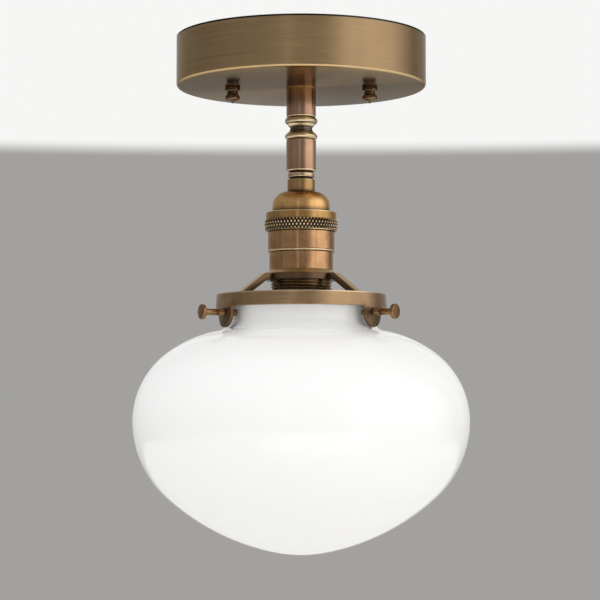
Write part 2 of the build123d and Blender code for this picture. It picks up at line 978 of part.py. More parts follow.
def centre_contact():
    """The bent brass tongue that the bulb's tip presses on."""
    start = -contact_rivet_place - contact_margin
    bend = -contact_rivet_place + contact_margin
    foot = bend + contact_slope
    lap = contact_thickness / 2
    top = insert_bottom
    low = insert_bottom - contact_drop
    side = [
        (start, top),
        (bend, top),
        (foot, low),
        (contact_reach, low),
        (contact_reach, low - contact_thickness),
        (foot - lap, low - contact_thickness),
        (bend - lap, top - contact_thickness),
        (start, top - contact_thickness),
    ]
    face = make_face(Polyline(*[(x, 0, z) for x, z in side], close=True))
    tongue = extrude(face, contact_width / 2, both=True)
    place = (-contact_rivet_place, 0)
    return tongue - drilled(rivet_radius + thread_play, low, top + cut_past, place)


# Shade holder


def arm(angle):
    """A flat arm: level out of the hub, then down to the band's flange."""
    top = hub_top - hub_chamfer
    bend = hub_radius + arm_level
    foot = band_flange_bore + arm_landing
    slope = math.atan2(top - band_top, foot - bend)
    drop = arm_thickness / math.cos(slope)
    under_bend = bend - (drop - (top - hub_bottom)) / math.tan(slope)
    seat = (band_top + flange_bottom) / 2
    under_foot = bend + (top - drop - seat) / math.tan(slope)
    root = (hub_bore + hub_radius) / 2
    side = [
        (root, top),
        (bend, top),
        (foot, band_top),
        (foot, seat),
        (under_foot, seat),
        (under_bend, hub_bottom),
        (root, hub_bottom),
    ]
    face = make_face(Polyline(*[(r, 0, z) for r, z in side], close=True))
    return Rot(0, 0, angle) * extrude(face, arm_width / 2, both=True)


def lug(angle):
    """A rounded tongue that hangs from the band, for a thumbscrew."""
    low = screw_axis - lug_half_width
    wall = turned_points(
        (band_bore, band_bottom),
        (band_foot_radius, band_bottom),
        (band_foot_radius, low - cut_past),
        (band_bore, low - cut_past),
    )
    half = lug_half_width
    curve = min(lug_fillet, lug_drop * 0.6)
    root = half + curve
    side_top = band_bottom - curve
    bow = curve * (1 - math.sqrt(0.5))
    outline = [
        Line((-root, band_bottom), (root, band_bottom)),
        ThreePointArc((root, band_bottom), (half + bow, band_bottom - bow), (half, side_top)),
        Line((half, side_top), (half, screw_axis)),
        ThreePointArc((half, screw_axis), (0, low), (-half, screw_axis)),
        Line((-half, screw_axis), (-half, side_top)),
        ThreePointArc((-half, side_top), (-half - bow, band_bottom - bow), (-root, band_bottom)),
    ]
    sheet = Plane.YZ * make_face(outline)
    prism = Pos(band_bore / 2, 0, 0) * extrude(sheet, band_foot_radius)
    hole = Pos(band_foot_radius, 0, screw_axis) * Rot(0, 90, 0) * Cylinder(
        screw_thread_radius + thread_play, 4 * band_wall
    )
    return Rot(0, 0, angle) * ((wall & prism) - hole)


def shade_holder():
    """One casting: tapped hub, three arms, band with an inward flange, three lugs."""
    hub = turned_points(
        (hub_bore, hub_top),
        (hub_radius - hub_chamfer, hub_top),
        (hub_radius, hub_top - hub_chamfer),
        (hub_radius, hub_bottom),
        (hub_bore, hub_bottom),
    )
    lip = band_edge_round
    bow = lip * (1 - math.sqrt(0.5))
    band = turned(
        line((band_flange_bore, band_top), (band_radius - lip, band_top)),
        arc(
            (band_radius - lip, band_top),
            (band_radius - bow, band_top - bow),
            (band_radius, band_top - lip),
        ),
        *joined(
            [
                (band_radius, band_top - lip),
                (band_foot_radius, band_bottom),
                (band_bore, band_bottom),
                (band_bore, flange_bottom),
                (band_flange_bore, flange_bottom),
                (band_flange_bore, band_top),
            ]
        ),
    )
    casting = hub + band
    for angle in arm_angles:
        casting += arm(angle)
        casting += lug(angle)
    return casting


def along_screw(angle, solid):
    """Lays a turned piece along a thumbscrew's axis, its height becoming distance out."""
    return Rot(0, 0, angle) * Pos(0, 0, screw_axis) * Rot(0, 90, 0) * solid


def thumbscrew_shank(angle):
    """The threaded shank of a thumbscrew, from the globe's neck out to its head."""
    plain_start = screw_head_seat - screw_plain_length
    root = screw_thread_radius - screw_thread_depth
    thread_end = screw_tip + screw_point_length
    ring = thread_points(screw_thread_radius, root, plain_start, thread_end, screw_thread_pitch)
    outline = [
        (0, screw_head_seat + screw_spigot_length),
        (screw_spigot_radius, screw_head_seat + screw_spigot_length),
        (screw_spigot_radius, screw_head_seat),
        (screw_plain_radius, screw_head_seat),
        (screw_plain_radius, plain_start),
    ]
    outline += ring
    outline += [(root, screw_tip), (0, screw_tip)]
    return along_screw(angle, turned_points(*outline))


def thumbscrew_head(angle):
    """The turned head on the shank's spigot."""
    seat = screw_head_seat + face_play
    outside = seat + screw_head_thickness
    edge = screw_head_round
    bore = screw_spigot_radius + thread_play
    bore_end = screw_head_seat + screw_spigot_length + face_play
    head = turned(
        line((bore, seat), (screw_head_radius - edge, seat)),
        round_edge((screw_head_radius - edge, seat + edge), edge, -90, 0),
        line((screw_head_radius, seat + edge), (screw_head_radius, outside - edge)),
        round_edge((screw_head_radius - edge, outside - edge), edge, 0, 90),
        line((screw_head_radius - edge, outside), (0, outside)),
        line((0, outside), (0, bore_end)),
        line((0, bore_end), (bore, bore_end)),
        line((bore, bore_end), (bore, seat)),
    )
    return along_screw(angle, head)


# Opal glass globe


def globe_arcs():
    """Centre, radius, start and end angle of each arc of the outside, from the pole up.

    The first value of each is +1 where the glass bulges and -1 where it is hollow. The
    side of the bottom arc and the top of the shoulder end where the arcs meet in line.
    """
    radius = glass_radius
    low_share, low_end = globe_form[0]
    width = math.cos(math.radians(low_end)) * low_share
    for (share, start), (wider, end) in zip(globe_form, globe_form[1:]):
        last = 0 if end > 0 else end
        width += wider * (math.cos(math.radians(last)) - math.cos(math.radians(start)))
    bottom_end = -math.degrees(math.acos((1 - width) / (bottom_round - low_share)))
    belt_share, belt_end = globe_form[-1]
    shoulder = shoulder_round * radius
    reach = (
        glass_neck_radius
        + glass_neck_fillet
        - radius
        + belt_share * radius * (1 - math.cos(math.radians(belt_end)))
        + shoulder * math.cos(math.radians(belt_end))
    )
    neck_start = math.degrees(math.acos(reach / (shoulder + glass_neck_fillet)))
    sections = [(bottom_round, bottom_end), *globe_form, (shoulder_round, neck_start)]
    centre = (0, bottom_round * radius)
    start = -90
    arcs = []
    for place, (share, end) in enumerate(sections):
        arcs.append((1, centre, share * radius, start, end))
        if place + 1 < len(sections):
            step = (share - sections[place + 1][0]) * radius
            centre = around(centre, step, end)
        start = end
    centre = around(centre, shoulder + glass_neck_fillet, neck_start)
    arcs.append((-1, centre, glass_neck_fillet, neck_start, 0))
    return arcs


def glass_globe():
    """The blown opal globe: flared lip, straight neck, wide belt and round bottom."""
    arcs = globe_arcs()
    bottom = neck_end - arcs[-1][1][1]
    outside = []
    inside = []
    for bulge, centre, radius, start, end in arcs:
        place = (centre[0], centre[1] + bottom)
        outside.append(round_edge(place, bulge * radius, start, end))
        inside.append(round_edge(place, bulge * radius - glass_wall, start, end))
    inner_neck = glass_neck_radius - glass_wall
    inner_lip = glass_lip_radius - glass_wall
    lip_low = lip_top - glass_lip_height
    slope_low = lip_low - glass_lip_slope
    edge = glass_lip_round
    return turned(
        *outside,
        *joined(
            [
                (glass_neck_radius, neck_end),
                (glass_neck_radius, slope_low),
                (glass_lip_radius, lip_low),
                (glass_lip_radius, lip_top - edge),
            ]
        ),
        round_edge((glass_lip_radius - edge, lip_top - edge), edge, 0, 90),
        *joined(
            [
                (glass_lip_radius - edge, lip_top),
                (inner_lip, lip_top),
                (inner_neck, slope_low),
                (inner_neck, neck_end),
            ]
        ),
        *inside,
        line((0, bottom), (0, bottom + glass_wall)),
    )


# Bulb


def bulb_base_shell():
    """The bulb's screw cap."""
    root = bulb_base_radius - bulb_base_thread_depth
    inner = root - bulb_base_wall
    thread_top = bulb_base_top - bulb_base_thread_depth
    thread_low = thread_top - (bulb_base_thread_turns + 0.5) * shell_thread_pitch
    waves = thread_points(
        bulb_base_radius, root, thread_top, thread_low, shell_thread_pitch
    )
    return turned_points(
        (inner, bulb_base_top),
        (root, bulb_base_top),
        *waves,
        (bulb_base_radius, bulb_base_bottom),
        (inner, bulb_base_bottom),
    )


bulb_inner = bulb_base_radius - bulb_base_thread_depth - bulb_base_wall - thread_play


def bulb_insulator():
    """The black glass cone between the screw cap and the tip contact."""
    top = bulb_tip - bulb_tip_height
    seat = bulb_base_top
    rim = bulb_base_radius - bulb_base_thread_depth
    return turned_points(
        (0, top),
        (bulb_tip_radius, top),
        (rim, seat + face_play),
        (bulb_inner, seat + face_play),
        (bulb_inner, seat - bulb_insulator_height),
        (0, seat - bulb_insulator_height),
    )


def bulb_tip_contact():
    """The solder button at the bulb's tip."""
    seat = bulb_tip - bulb_tip_height
    return turned(
        line((0, seat), (bulb_tip_radius, seat)),
        crown(bulb_tip_radius, seat, bulb_tip),
        line((0, bulb_tip), (0, seat)),
    )


def bulb_glass():
    """The pear-shaped envelope, open at the neck that is cemented in the base."""
    seat = bulb_base_top - bulb_insulator_height
    neck_low = bulb_base_bottom - bulb_neck_height
    centre = (0, bulb_bottom + bulb_radius)
    distance = math.hypot(bulb_neck_radius, neck_low - centre[1])
    lean = math.degrees(math.atan2(neck_low - centre[1], bulb_neck_radius))
    touch = lean - math.degrees(math.acos(bulb_radius / distance))
    outer = around(centre, bulb_radius, touch)
    inner = around(centre, bulb_radius - bulb_wall, touch)
    neck_inner = bulb_inner - bulb_wall
    shoulder = bulb_base_bottom - face_play
    top = seat - face_play
    return turned(
        line((neck_inner, top), (bulb_inner, top)),
        line((bulb_inner, top), (bulb_inner, shoulder)),
        line((bulb_inner, shoulder), (bulb_neck_radius, neck_low)),
        line((bulb_neck_radius, neck_low), outer),
        round_edge(centre, bulb_radius, touch, -90),
        line((0, bulb_bottom), (0, bulb_bottom + bulb_wall)),
        round_edge(centre, bulb_radius - bulb_wall, -90, touch),
        line(inner, (bulb_neck_radius - bulb_wall, neck_low)),
        line((bulb_neck_radius - bulb_wall, neck_low), (neck_inner, shoulder)),
        line((neck_inner, shoulder), (neck_inner, top)),
    )


stem_top = bulb_base_bottom + bulb_neck_height
stem_low = stem_top - bulb_stem_flare_height - bulb_stem_length
filament_top = stem_low + filament_length + 2 * filament_wire_radius


def bulb_stem():
    """The glass stem: a flare at the neck and a long thin rod."""
    flare_low = stem_top - bulb_stem_flare_height
    flare = bulb_inner - bulb_wall - bore_play
    return turned_points(
        (0, stem_top),
        (flare, stem_top),
        (flare, stem_top - bulb_wall),
        (bulb_stem_radius, flare_low),
        (bulb_stem_radius, stem_low),
        (0, stem_low),
    )


def filament_supports():
    """Two wire spiders that hold the filaments on the stem."""
    spiders = []
    bore = bulb_stem_radius + thread_play
    for height in (filament_top, stem_low + 2 * filament_wire_radius):
        spider = turned_points(
            (bore, height + filament_wire_radius),
            (bore + filament_hub_wall, height + filament_wire_radius),
            (bore + filament_hub_wall, height - filament_wire_radius),
            (bore, height - filament_wire_radius),
        )
        spoke = filament_circle - bore
        for step in range(filament_count):
            wire = Pos(bore + spoke / 2 + filament_wire_radius / 2, 0, height) * Rot(
                0, 90, 0
            ) * Cylinder(filament_wire_radius, spoke - filament_wire_radius)
            spider += Rot(0, 0, 360 / filament_count * step) * wire
        spiders.append(spider)
    return Compound(spiders)


def bulb_filaments():
    """Straight filaments standing round the stem between the two spiders."""
    low = stem_low + 3 * filament_wire_radius + face_play
    high = filament_top - filament_wire_radius - face_play
    rods = []
    for step in range(filament_count):
        rod = drilled(filament_radius, low, high, (filament_circle, 0))
        rods.append(Rot(0, 0, 360 / filament_count * step) * rod)
    return Compound(rods)


# Leads

lead_offset = lead_radius + bore_play  # each lead lies this far from the stem's axis
lead_rise = terminal_head_radius + lead_radius + bore_play
lead_height = nipple_top + lead_top_bend
connector_mouth = pipe_hole + lock_nut_wall + 2 * connector_radius
connector_angles = {
    "live": 180 - connector_angle,
    "neutral": 360 - connector_angle,
    "earth": connector_angle,
}


def at_angle(degrees, radius):
    """The point at an angle and a distance from the axis, seen from above."""
    angle = math.radians(degrees)
    return (radius * math.cos(angle), radius * math.sin(angle))


def lead_along(points, bends):
    """A round lead along straight runs joined by arcs."""
    path = FilletPolyline(*points, radius=bends)
    start = Plane(origin=path @ 0, z_dir=path % 0)
    return sweep(start * Circle(lead_radius), path)


def lead_end(name):
    """Where a lead ends, inside its connector."""
    reach = connector_mouth + lead_reach
    return (*at_angle(connector_angles[name], reach), lead_height)


def stem_lead(name, side):
    """A lead with a ring on a terminal, up the stem and across into its connector."""
    foot = (side * terminal_circle, side * lead_rise)
    inner = (side * lead_offset, 0)
    ring_top = terminal_plate_top + lead_ring_thickness
    pipe_end = dome_top - cap_wall - cap_nipple_reach
    ring = turned_points(
        (terminal_screw_radius + thread_play, terminal_plate_top),
        (terminal_screw_radius + lead_ring_width, terminal_plate_top),
        (terminal_screw_radius + lead_ring_width, ring_top),
        (terminal_screw_radius + thread_play, ring_top),
    )
    tab_length = lead_rise - terminal_screw_radius - lead_ring_width / 2
    tab_middle = lead_rise - tab_length / 2
    tab = Pos(0, side * tab_middle, terminal_plate_top + lead_ring_thickness / 2) * Box(
        2 * lead_radius, tab_length, lead_ring_thickness
    )
    path = [
        (*foot, terminal_plate_top),
        (*foot, ring_top + lead_foot_rise),
        (*inner, pipe_end - lead_pipe_entry),
        (*inner, lead_height),
        lead_end(name),
    ]
    wire = lead_along(path, [lead_bend, lead_bend, lead_top_bend])
    return Pos(foot[0], 0, 0) * (ring + tab) + wire


def earth_lead():
    """The canopy's own earth lead: a ring under the lock nut and a short lead."""
    angle = connector_angles["earth"]
    low = canopy_floor + lock_washer_thickness
    high = low + earth_ring_thickness
    radius = pipe_hole + earth_ring_width
    ring = turned_points(
        (pipe_hole, low), (radius, low), (radius, high), (pipe_hole, high)
    )
    reach = (pipe_hole + lock_nut_wall) * 2 / math.sqrt(3) + lead_radius + bore_play
    tab_start = radius - earth_ring_width / 2
    tab = Pos((tab_start + reach) / 2, 0, (low + high) / 2) * Box(
        reach - tab_start, 2 * lead_radius, earth_ring_thickness
    )
    foot = at_angle(angle, reach)
    path = [(*foot, low), (*foot, lead_height), lead_end("earth")]
    return ring + Rot(0, 0, angle) * tab + lead_along(path, [lead_top_bend])


def connector():
    """A twist-on connector with its mouth at the origin, pointing up."""
    tip = connector_length - connector_tip_radius
    cone = turned(
        *joined(
            [
                (0, 0),
                (connector_radius, 0),
                (connector_radius, connector_length / 4),
                (connector_tip_radius, tip),
            ]
        ),
        round_edge((0, tip), connector_tip_radius, 0, 90),
        line((0, connector_length), (0, 0)),
    )
    span = connector_radius + connector_wing
    wings = Pos(0, 0, connector_length / 6) * Box(
        2 * span, connector_wing_thickness, connector_length / 3
    )
    return cone + wings - drilled(connector_bore, -cut_past, connector_bore_depth)


def wire_connectors():
    """The three twist-on connectors in the canopy, lying flat."""
    cones = []
    for angle in connector_angles.values():
        place = Pos(*at_angle(angle, connector_mouth), lead_height)
        cones.append(place * Rot(0, 0, angle) * Rot(0, 90, 0) * connector())
    return Compound(cones)


# What is written out


def write_pieces():
    """Every piece by name, each written to its own file."""
    pieces = {
        "box_strap": box_strap(),
        "strap_eyelet": strap_eyelet(),
        "earth_screw": earth_screw(),
        "stud_strap": stud_strap(),
        "canopy_screws": canopy_screws(),
        "stud_nuts": stud_nuts(),
        "canopy": canopy(),
        "canopy_nipple": pipe(nipple_top, canopy_bottom - nipple_grip),
        "canopy_lock_washer": canopy_lock_washer(),
        "canopy_lock_nut": canopy_lock_nut(),
        "stem_upper_tube": tube(upper_tube_wall, canopy_bottom, upper_tube_bottom),
        "stem_spindle": stem_spindle(),
        "stem_lower_tube": tube(lower_tube_wall, spindle_bottom, lower_tube_bottom),
        "stem_nipple": pipe(
            lower_tube_bottom + nipple_grip, dome_top - cap_wall - cap_nipple_reach
        ),
        "check_ring": check_ring(),
        "lampholder_cap": lampholder_cap(),
        "cap_set_screw": cap_set_screw(),
        "union_ring": union_ring(),
        "lampholder_barrel": lampholder_barrel(),
        "insulating_liner": insulating_liner(),
        "porcelain_insert": porcelain_insert(),
        "terminal_plates": terminal_plates(),
        "terminal_screws": terminal_screws(),
        "socket_rivets": socket_rivets(),
        "screw_shell": screw_shell(),
        "centre_contact": centre_contact(),
        "shade_holder": shade_holder(),
        "glass_globe": glass_globe(),
        "bulb_base_shell": bulb_base_shell(),
        "bulb_insulator": bulb_insulator(),
        "bulb_tip_contact": bulb_tip_contact(),
        "bulb_glass": bulb_glass(),
        "bulb_stem": bulb_stem(),
        "filament_supports": filament_supports(),
        "bulb_filaments": bulb_filaments(),
        "live_lead": stem_lead("live", -1),
        "neutral_lead": stem_lead("neutral", 1),
        "earth_lead": earth_lead(),
        "wire_connectors": wire_connectors(),
    }
    for side, sign in (("left", -1), ("right", 1)):
        place = Pos(sign * stud_spacing / 2, 0, 0)
        pieces[f"knob_washer_{side}"] = place * knob_washer()
        pieces[f"canopy_knob_{side}"] = place * canopy_knob()
    for side, angle in zip(("back", "left", "right"), arm_angles):
        pieces[f"thumbscrew_shank_{side}"] = thumbscrew_shank(angle)
        pieces[f"thumbscrew_head_{side}"] = thumbscrew_head(angle)
    os.makedirs("parts", exist_ok=True)
    for name, piece in pieces.items():
        export_step(piece, f"parts/{name}.step")


write_pieces()
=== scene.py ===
import math

import bmesh
import bpy
from mathutils import Matrix, Vector


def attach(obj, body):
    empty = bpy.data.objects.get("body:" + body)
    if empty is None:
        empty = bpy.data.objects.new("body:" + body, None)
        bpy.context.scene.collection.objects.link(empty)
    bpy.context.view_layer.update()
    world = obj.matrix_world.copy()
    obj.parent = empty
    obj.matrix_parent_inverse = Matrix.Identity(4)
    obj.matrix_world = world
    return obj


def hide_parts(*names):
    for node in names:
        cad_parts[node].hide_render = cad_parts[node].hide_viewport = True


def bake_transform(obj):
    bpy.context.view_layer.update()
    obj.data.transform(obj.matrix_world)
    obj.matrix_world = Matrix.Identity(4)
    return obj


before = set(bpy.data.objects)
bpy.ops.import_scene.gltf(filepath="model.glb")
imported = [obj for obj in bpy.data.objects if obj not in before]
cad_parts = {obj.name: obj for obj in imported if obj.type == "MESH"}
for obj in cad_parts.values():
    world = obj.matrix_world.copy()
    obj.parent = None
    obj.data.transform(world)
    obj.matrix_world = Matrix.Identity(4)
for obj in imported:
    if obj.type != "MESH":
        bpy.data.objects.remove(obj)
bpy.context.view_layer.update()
# The scene is in metres, and the sizes below are in millimetres.
MM = 0.001

# Room
# A plain pale studio: grey low down and white overhead, with a pale floor far below. A wide
# soft window is on the right, and metal shows it too, as it shows the dimmer wall on the left.
# A narrow window behind the camera and a low light under the globe fill the shadows.


def linear(hex_colour):
    """An sRGB hex colour as linear red, green, blue and alpha."""
    shares = [int(hex_colour[place:place + 2], 16) / 255 for place in (1, 3, 5)]
    return (*[s / 12.92 if s <= 0.04045 else ((s + 0.055) / 1.055) ** 2.4 for s in shares], 1)


def add_node(tree, kind, sockets=None, **settings):
    """Adds a node; sockets maps an input's name or number to a value, an output or a node.

    A node given as an input stands for its first output.
    """
    node = tree.nodes.new("ShaderNode" + kind)
    for name, value in settings.items():
        setattr(node, name, value)
    for socket, value in (sockets or {}).items():
        if isinstance(value, bpy.types.Node):
            value = value.outputs[0]
        if isinstance(value, bpy.types.NodeSocket):
            tree.links.new(value, node.inputs[socket])
        else:
            node.inputs[socket].default_value = value
    return node


def blend(tree, share, first, second):
    """The colour between two colours, nearer to the second as the share rises."""
    mix = add_node(tree, "Mix", {"Factor": share, "A": first, "B": second}, data_type="RGBA")
    return mix.outputs["Result"]


def ramp(tree, value, low, high, first, last, **settings):
    """A node that goes from first to last while the value goes from low to high."""
    return add_node(tree, "MapRange", {0: value, 1: low, 2: high, 3: first, 4: last}, **settings)


scene = bpy.context.scene
scene.view_settings.view_transform = "Standard"

world = bpy.data.worlds.new("studio")
world.use_nodes = True
scene.world = world
sky = world.node_tree
sky.nodes.clear()
toward = add_node(sky, "TexCoord").outputs["Generated"]
upward = add_node(sky, "SeparateXYZ", {0: toward})
wall_top = 0.128
ceiling_start = 0.137
wall_line = ramp(sky, upward.outputs[2], wall_top, ceiling_start, 0.0, 1.0,
                 interpolation_type="SMOOTHSTEP")
shown = blend(sky, wall_line, linear("#a3a1a0"), linear("#f6f6f5"))
height = ramp(sky, upward.outputs[2], -0.2, 0.3, 0.0, 1.0, interpolation_type="SMOOTHSTEP")
reflected = blend(sky, height, linear("#b5b3b1"), linear("#faf9f7"))
window_turn = math.radians(70)
facing = add_node(sky, "VectorMath", {
    0: toward, 1: (math.sin(window_turn), -math.cos(window_turn), 0)}, operation="DOT_PRODUCT")
window = ramp(sky, facing.outputs["Value"], 0.56, 0.98, 0.4, 1.5, interpolation_type="SMOOTHSTEP")
back_wall = ramp(sky, upward.outputs[1], 0.5, 1.0, 0.4, 0.85, interpolation_type="SMOOTHSTEP")
brighter = add_node(sky, "Math", {0: window, 1: back_wall}, operation="MAXIMUM")
across = add_node(sky, "CombineXYZ", {0: upward.outputs[0]})
folds = add_node(sky, "TexNoise", {"Vector": across, "Scale": 13.0, "Detail": 1.0})
curtain = ramp(sky, folds, 0.35, 0.65, 0.75, 1.2)
wall_light = add_node(sky, "Math", {0: brighter, 1: curtain}, operation="MULTIPLY")
rays = add_node(sky, "LightPath")
seen = add_node(sky, "Math", {
    0: rays.outputs["Is Camera Ray"], 1: rays.outputs["Is Transmission Ray"]}, operation="MAXIMUM")
backdrop = add_node(sky, "Background", {"Color": shown, "Strength": 1.0})
overhead = ramp(sky, upward.outputs[2], -0.1, 0.6, 0.76, 1.18)
fill = add_node(sky, "Background", {"Color": linear("#ffffff"), "Strength": overhead})
walls = add_node(sky, "Background", {"Color": reflected, "Strength": wall_light})
lit = add_node(sky, "MixShader", {0: rays.outputs["Is Glossy Ray"], 1: fill, 2: walls})
mixed = add_node(sky, "MixShader", {0: seen, 1: lit, 2: backdrop})
add_node(sky, "OutputWorld", {0: mixed})


def new_material(name):
    """An empty node material, and its tree."""
    material = bpy.data.materials.new(name)
    material.use_nodes = True
    material.node_tree.nodes.clear()
    return material, material.node_tree


def floor_paint():
    """Matt emulsion paint: even, with a very faint roller stipple."""
    material, tree = new_material("matt_floor_paint")
    place = add_node(tree, "TexCoord").outputs["Object"]
    stipple = add_node(tree, "TexNoise", {"Vector": place, "Scale": 300.0, "Detail": 2.0})
    bump = add_node(tree, "Bump", {"Height": stipple, "Strength": 0.05, "Distance": MM})
    shader = add_node(tree, "BsdfPrincipled", {
        "Base Color": linear("#e3e2e0"), "Roughness": 0.9, "Normal": bump})
    add_node(tree, "OutputMaterial", {0: shader})
    return material


floor_size = 10.0
floor_drop = 1.35
bm = bmesh.new()
bmesh.ops.create_grid(bm, x_segments=1, y_segments=1, size=floor_size / 2)
bmesh.ops.translate(bm, verts=bm.verts, vec=(0, 0, -floor_drop))
floor_mesh = bpy.data.meshes.new("floor")
bm.to_mesh(floor_mesh)
bm.free()
floor = bpy.data.objects.new("floor", floor_mesh)
scene.collection.objects.link(floor)
floor_mesh.materials.append(floor_paint())


def soft_lamp(name, place, aim, width, height, watts, colour):
    """A large rectangular lamp that points from its place at its aim."""
    data = bpy.data.lights.new(name, "AREA")
    data.shape = "RECTANGLE"
    data.size = width
    data.size_y = height
    data.energy = watts
    data.color = linear(colour)[:3]
    lamp = bpy.data.objects.new(name, data)
    lamp.location = place
    lamp.rotation_euler = (Vector(aim) - Vector(place)).to_track_quat("-Z", "Y").to_euler()
    scene.collection.objects.link(lamp)


def lamp_place(degrees, distance, height):
    """A place at a distance from the light, turned from the camera's side to the right."""
    turn = math.radians(degrees)
    return (distance * math.sin(turn), -distance * math.cos(turn), height)


lamp_aim = (0, 0, -0.15)
window_height = 2.6
window_glow = 0.18 * math.pi
# A narrower lamp in the same place makes the window fade towards its sides.
for window_width in (2.6, 1.5):
    soft_lamp("window_right", lamp_place(64, 2.2, 0.25), lamp_aim, window_width, window_height,
              window_glow * window_width * window_height, "#fffaf4")
soft_lamp("window_behind", lamp_place(-12, 2.4, 0.45), lamp_aim,
          width=0.2, height=0.9, watts=0.35, colour="#fffdfa")
soft_lamp("low_light", lamp_place(10, 1.6, -1.3), lamp_aim,
          width=2.6, height=1.6, watts=8.6, colour="#fffefc")

camera_data = bpy.data.cameras.new("camera")
camera_data.lens = 119.0
camera_data.sensor_width = 36.0
camera = bpy.data.objects.new("camera", camera_data)
camera_tilt = 3.27
camera.location = (-0.0006, -1.0035, -0.19115)
camera.rotation_euler = (math.radians(90 + camera_tilt), 0, 0)
scene.collection.objects.link(camera)
scene.camera = camera

# Canopy
# A shallow cup drawn from brass sheet and spun smooth. Its side was brushed on the lathe,
# which leaves fine level lines, and its underside polished almost to a mirror.


def outline_from(radius, height):
    """A new mesh with the first point of a turned piece's outline, in millimetres."""
    bm = bmesh.new()
    bm.verts.new((radius * MM, 0, height * MM))
    return bm


def line_to(bm, radius, height):
    """Draws the outline's next straight edge."""
    bm.verts.ensure_lookup_table()
    start = bm.verts[-1]
    end = bm.verts.new((radius * MM, 0, height * MM))
    bm.edges.new((start, end))


def arc_about(bm, radius, height, degrees, steps):
    """Turns the outline's last point about a centre, counter-clockwise, drawing an arc."""
    bm.verts.ensure_lookup_table()
    bmesh.ops.spin(bm, geom=[bm.verts[-1]], cent=(radius * MM, 0, height * MM), axis=(0, 1, 0),
                   angle=-math.radians(degrees), steps=steps)


def turned(bm, steps=144):
    """Turns the outline a full circle about the Z axis into a closed skin."""
    bmesh.ops.remove_doubles(bm, verts=bm.verts, dist=1e-7)
    bmesh.ops.spin(bm, geom=bm.verts[:] + bm.edges[:], cent=(0, 0, 0), axis=(0, 0, 1),
                   angle=2 * math.pi, steps=steps, use_merge=True)
    bmesh.ops.remove_doubles(bm, verts=bm.verts, dist=1e-7)
    bmesh.ops.dissolve_degenerate(bm, edges=bm.edges, dist=1e-7)
    bmesh.ops.recalc_face_normals(bm, faces=bm.faces)
    return bm


def piece(name, bm, materials, body, nodes, sharp_degrees=35):
    """Makes the finished piece: smooth but for its sharp edges, on its body, for its nodes."""
    mesh = bpy.data.meshes.new(name)
    bm.to_mesh(mesh)
    bm.free()
    mesh.shade_smooth()
    mesh.set_sharp_from_angle(angle=math.radians(sharp_degrees))
    for material in materials:
        mesh.materials.append(material)
    made = bpy.data.objects.new(name, mesh)
    scene.collection.objects.link(made)
    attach(made, body)
    if nodes:
        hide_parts(*nodes)
    return made


def lathe_place(tree, centre=(0, 0, 0)):
    """Radius and height of a point, for a finish whose marks run round the Z axis."""
    place = add_node(tree, "TexCoord").outputs["Object"]
    moved = add_node(tree, "Mapping", {0: place, 1: [-value for value in centre]})
    parts = add_node(tree, "SeparateXYZ", {0: moved})
    flat = add_node(tree, "CombineXYZ", {0: parts.outputs[0], 1: parts.outputs[1]})
    radius = add_node(tree, "VectorMath", {0: flat}, operation="LENGTH")
    along = add_node(tree, "Math", {0: parts.outputs[0], 1: parts.outputs[1]}, operation="ADD")
    part_way = add_node(tree, "Math", {0: along, 1: 0.02}, operation="MULTIPLY")
    return add_node(tree, "CombineXYZ", {0: radius.outputs["Value"], 1: part_way, 2: parts.outputs[2]})


def height_marks(tree, marks):
    """Marks level bands, each given by its height, its half width and how strong it is."""
    place = add_node(tree, "TexCoord").outputs["Object"]
    level = add_node(tree, "SeparateXYZ", {0: place}).outputs[2]
    total = 0.0
    for height, half_width, strength in marks:
        inside = add_node(tree, "Math", {0: level, 1: height * MM, 2: half_width * MM},
                          operation="COMPARE")
        share = add_node(tree, "Math", {0: inside, 1: strength}, operation="MULTIPLY")
        total = add_node(tree, "Math", {0: share, 1: total}, operation="MAXIMUM")
    return total


edge_tint = linear("#b0ada8")


def lacquered(tree, colour, rough, bump, stretch, coat, coat_rough, tint=edge_tint):
    """Ends a tree in lacquered metal, whose lathe marks stretch the shine up and down."""
    marks = add_node(tree, "Tangent", direction_type="RADIAL", axis="Z")
    shader = add_node(tree, "BsdfPrincipled", {
        "Base Color": colour, "Metallic": 1.0, "Roughness": rough,
        "Specular Tint": tint, "Anisotropic": stretch, "Anisotropic Rotation": 0.25,
        "Coat Weight": coat, "Coat Roughness": coat_rough, "Tangent": marks, "Normal": bump})
    add_node(tree, "OutputMaterial", {0: shader})


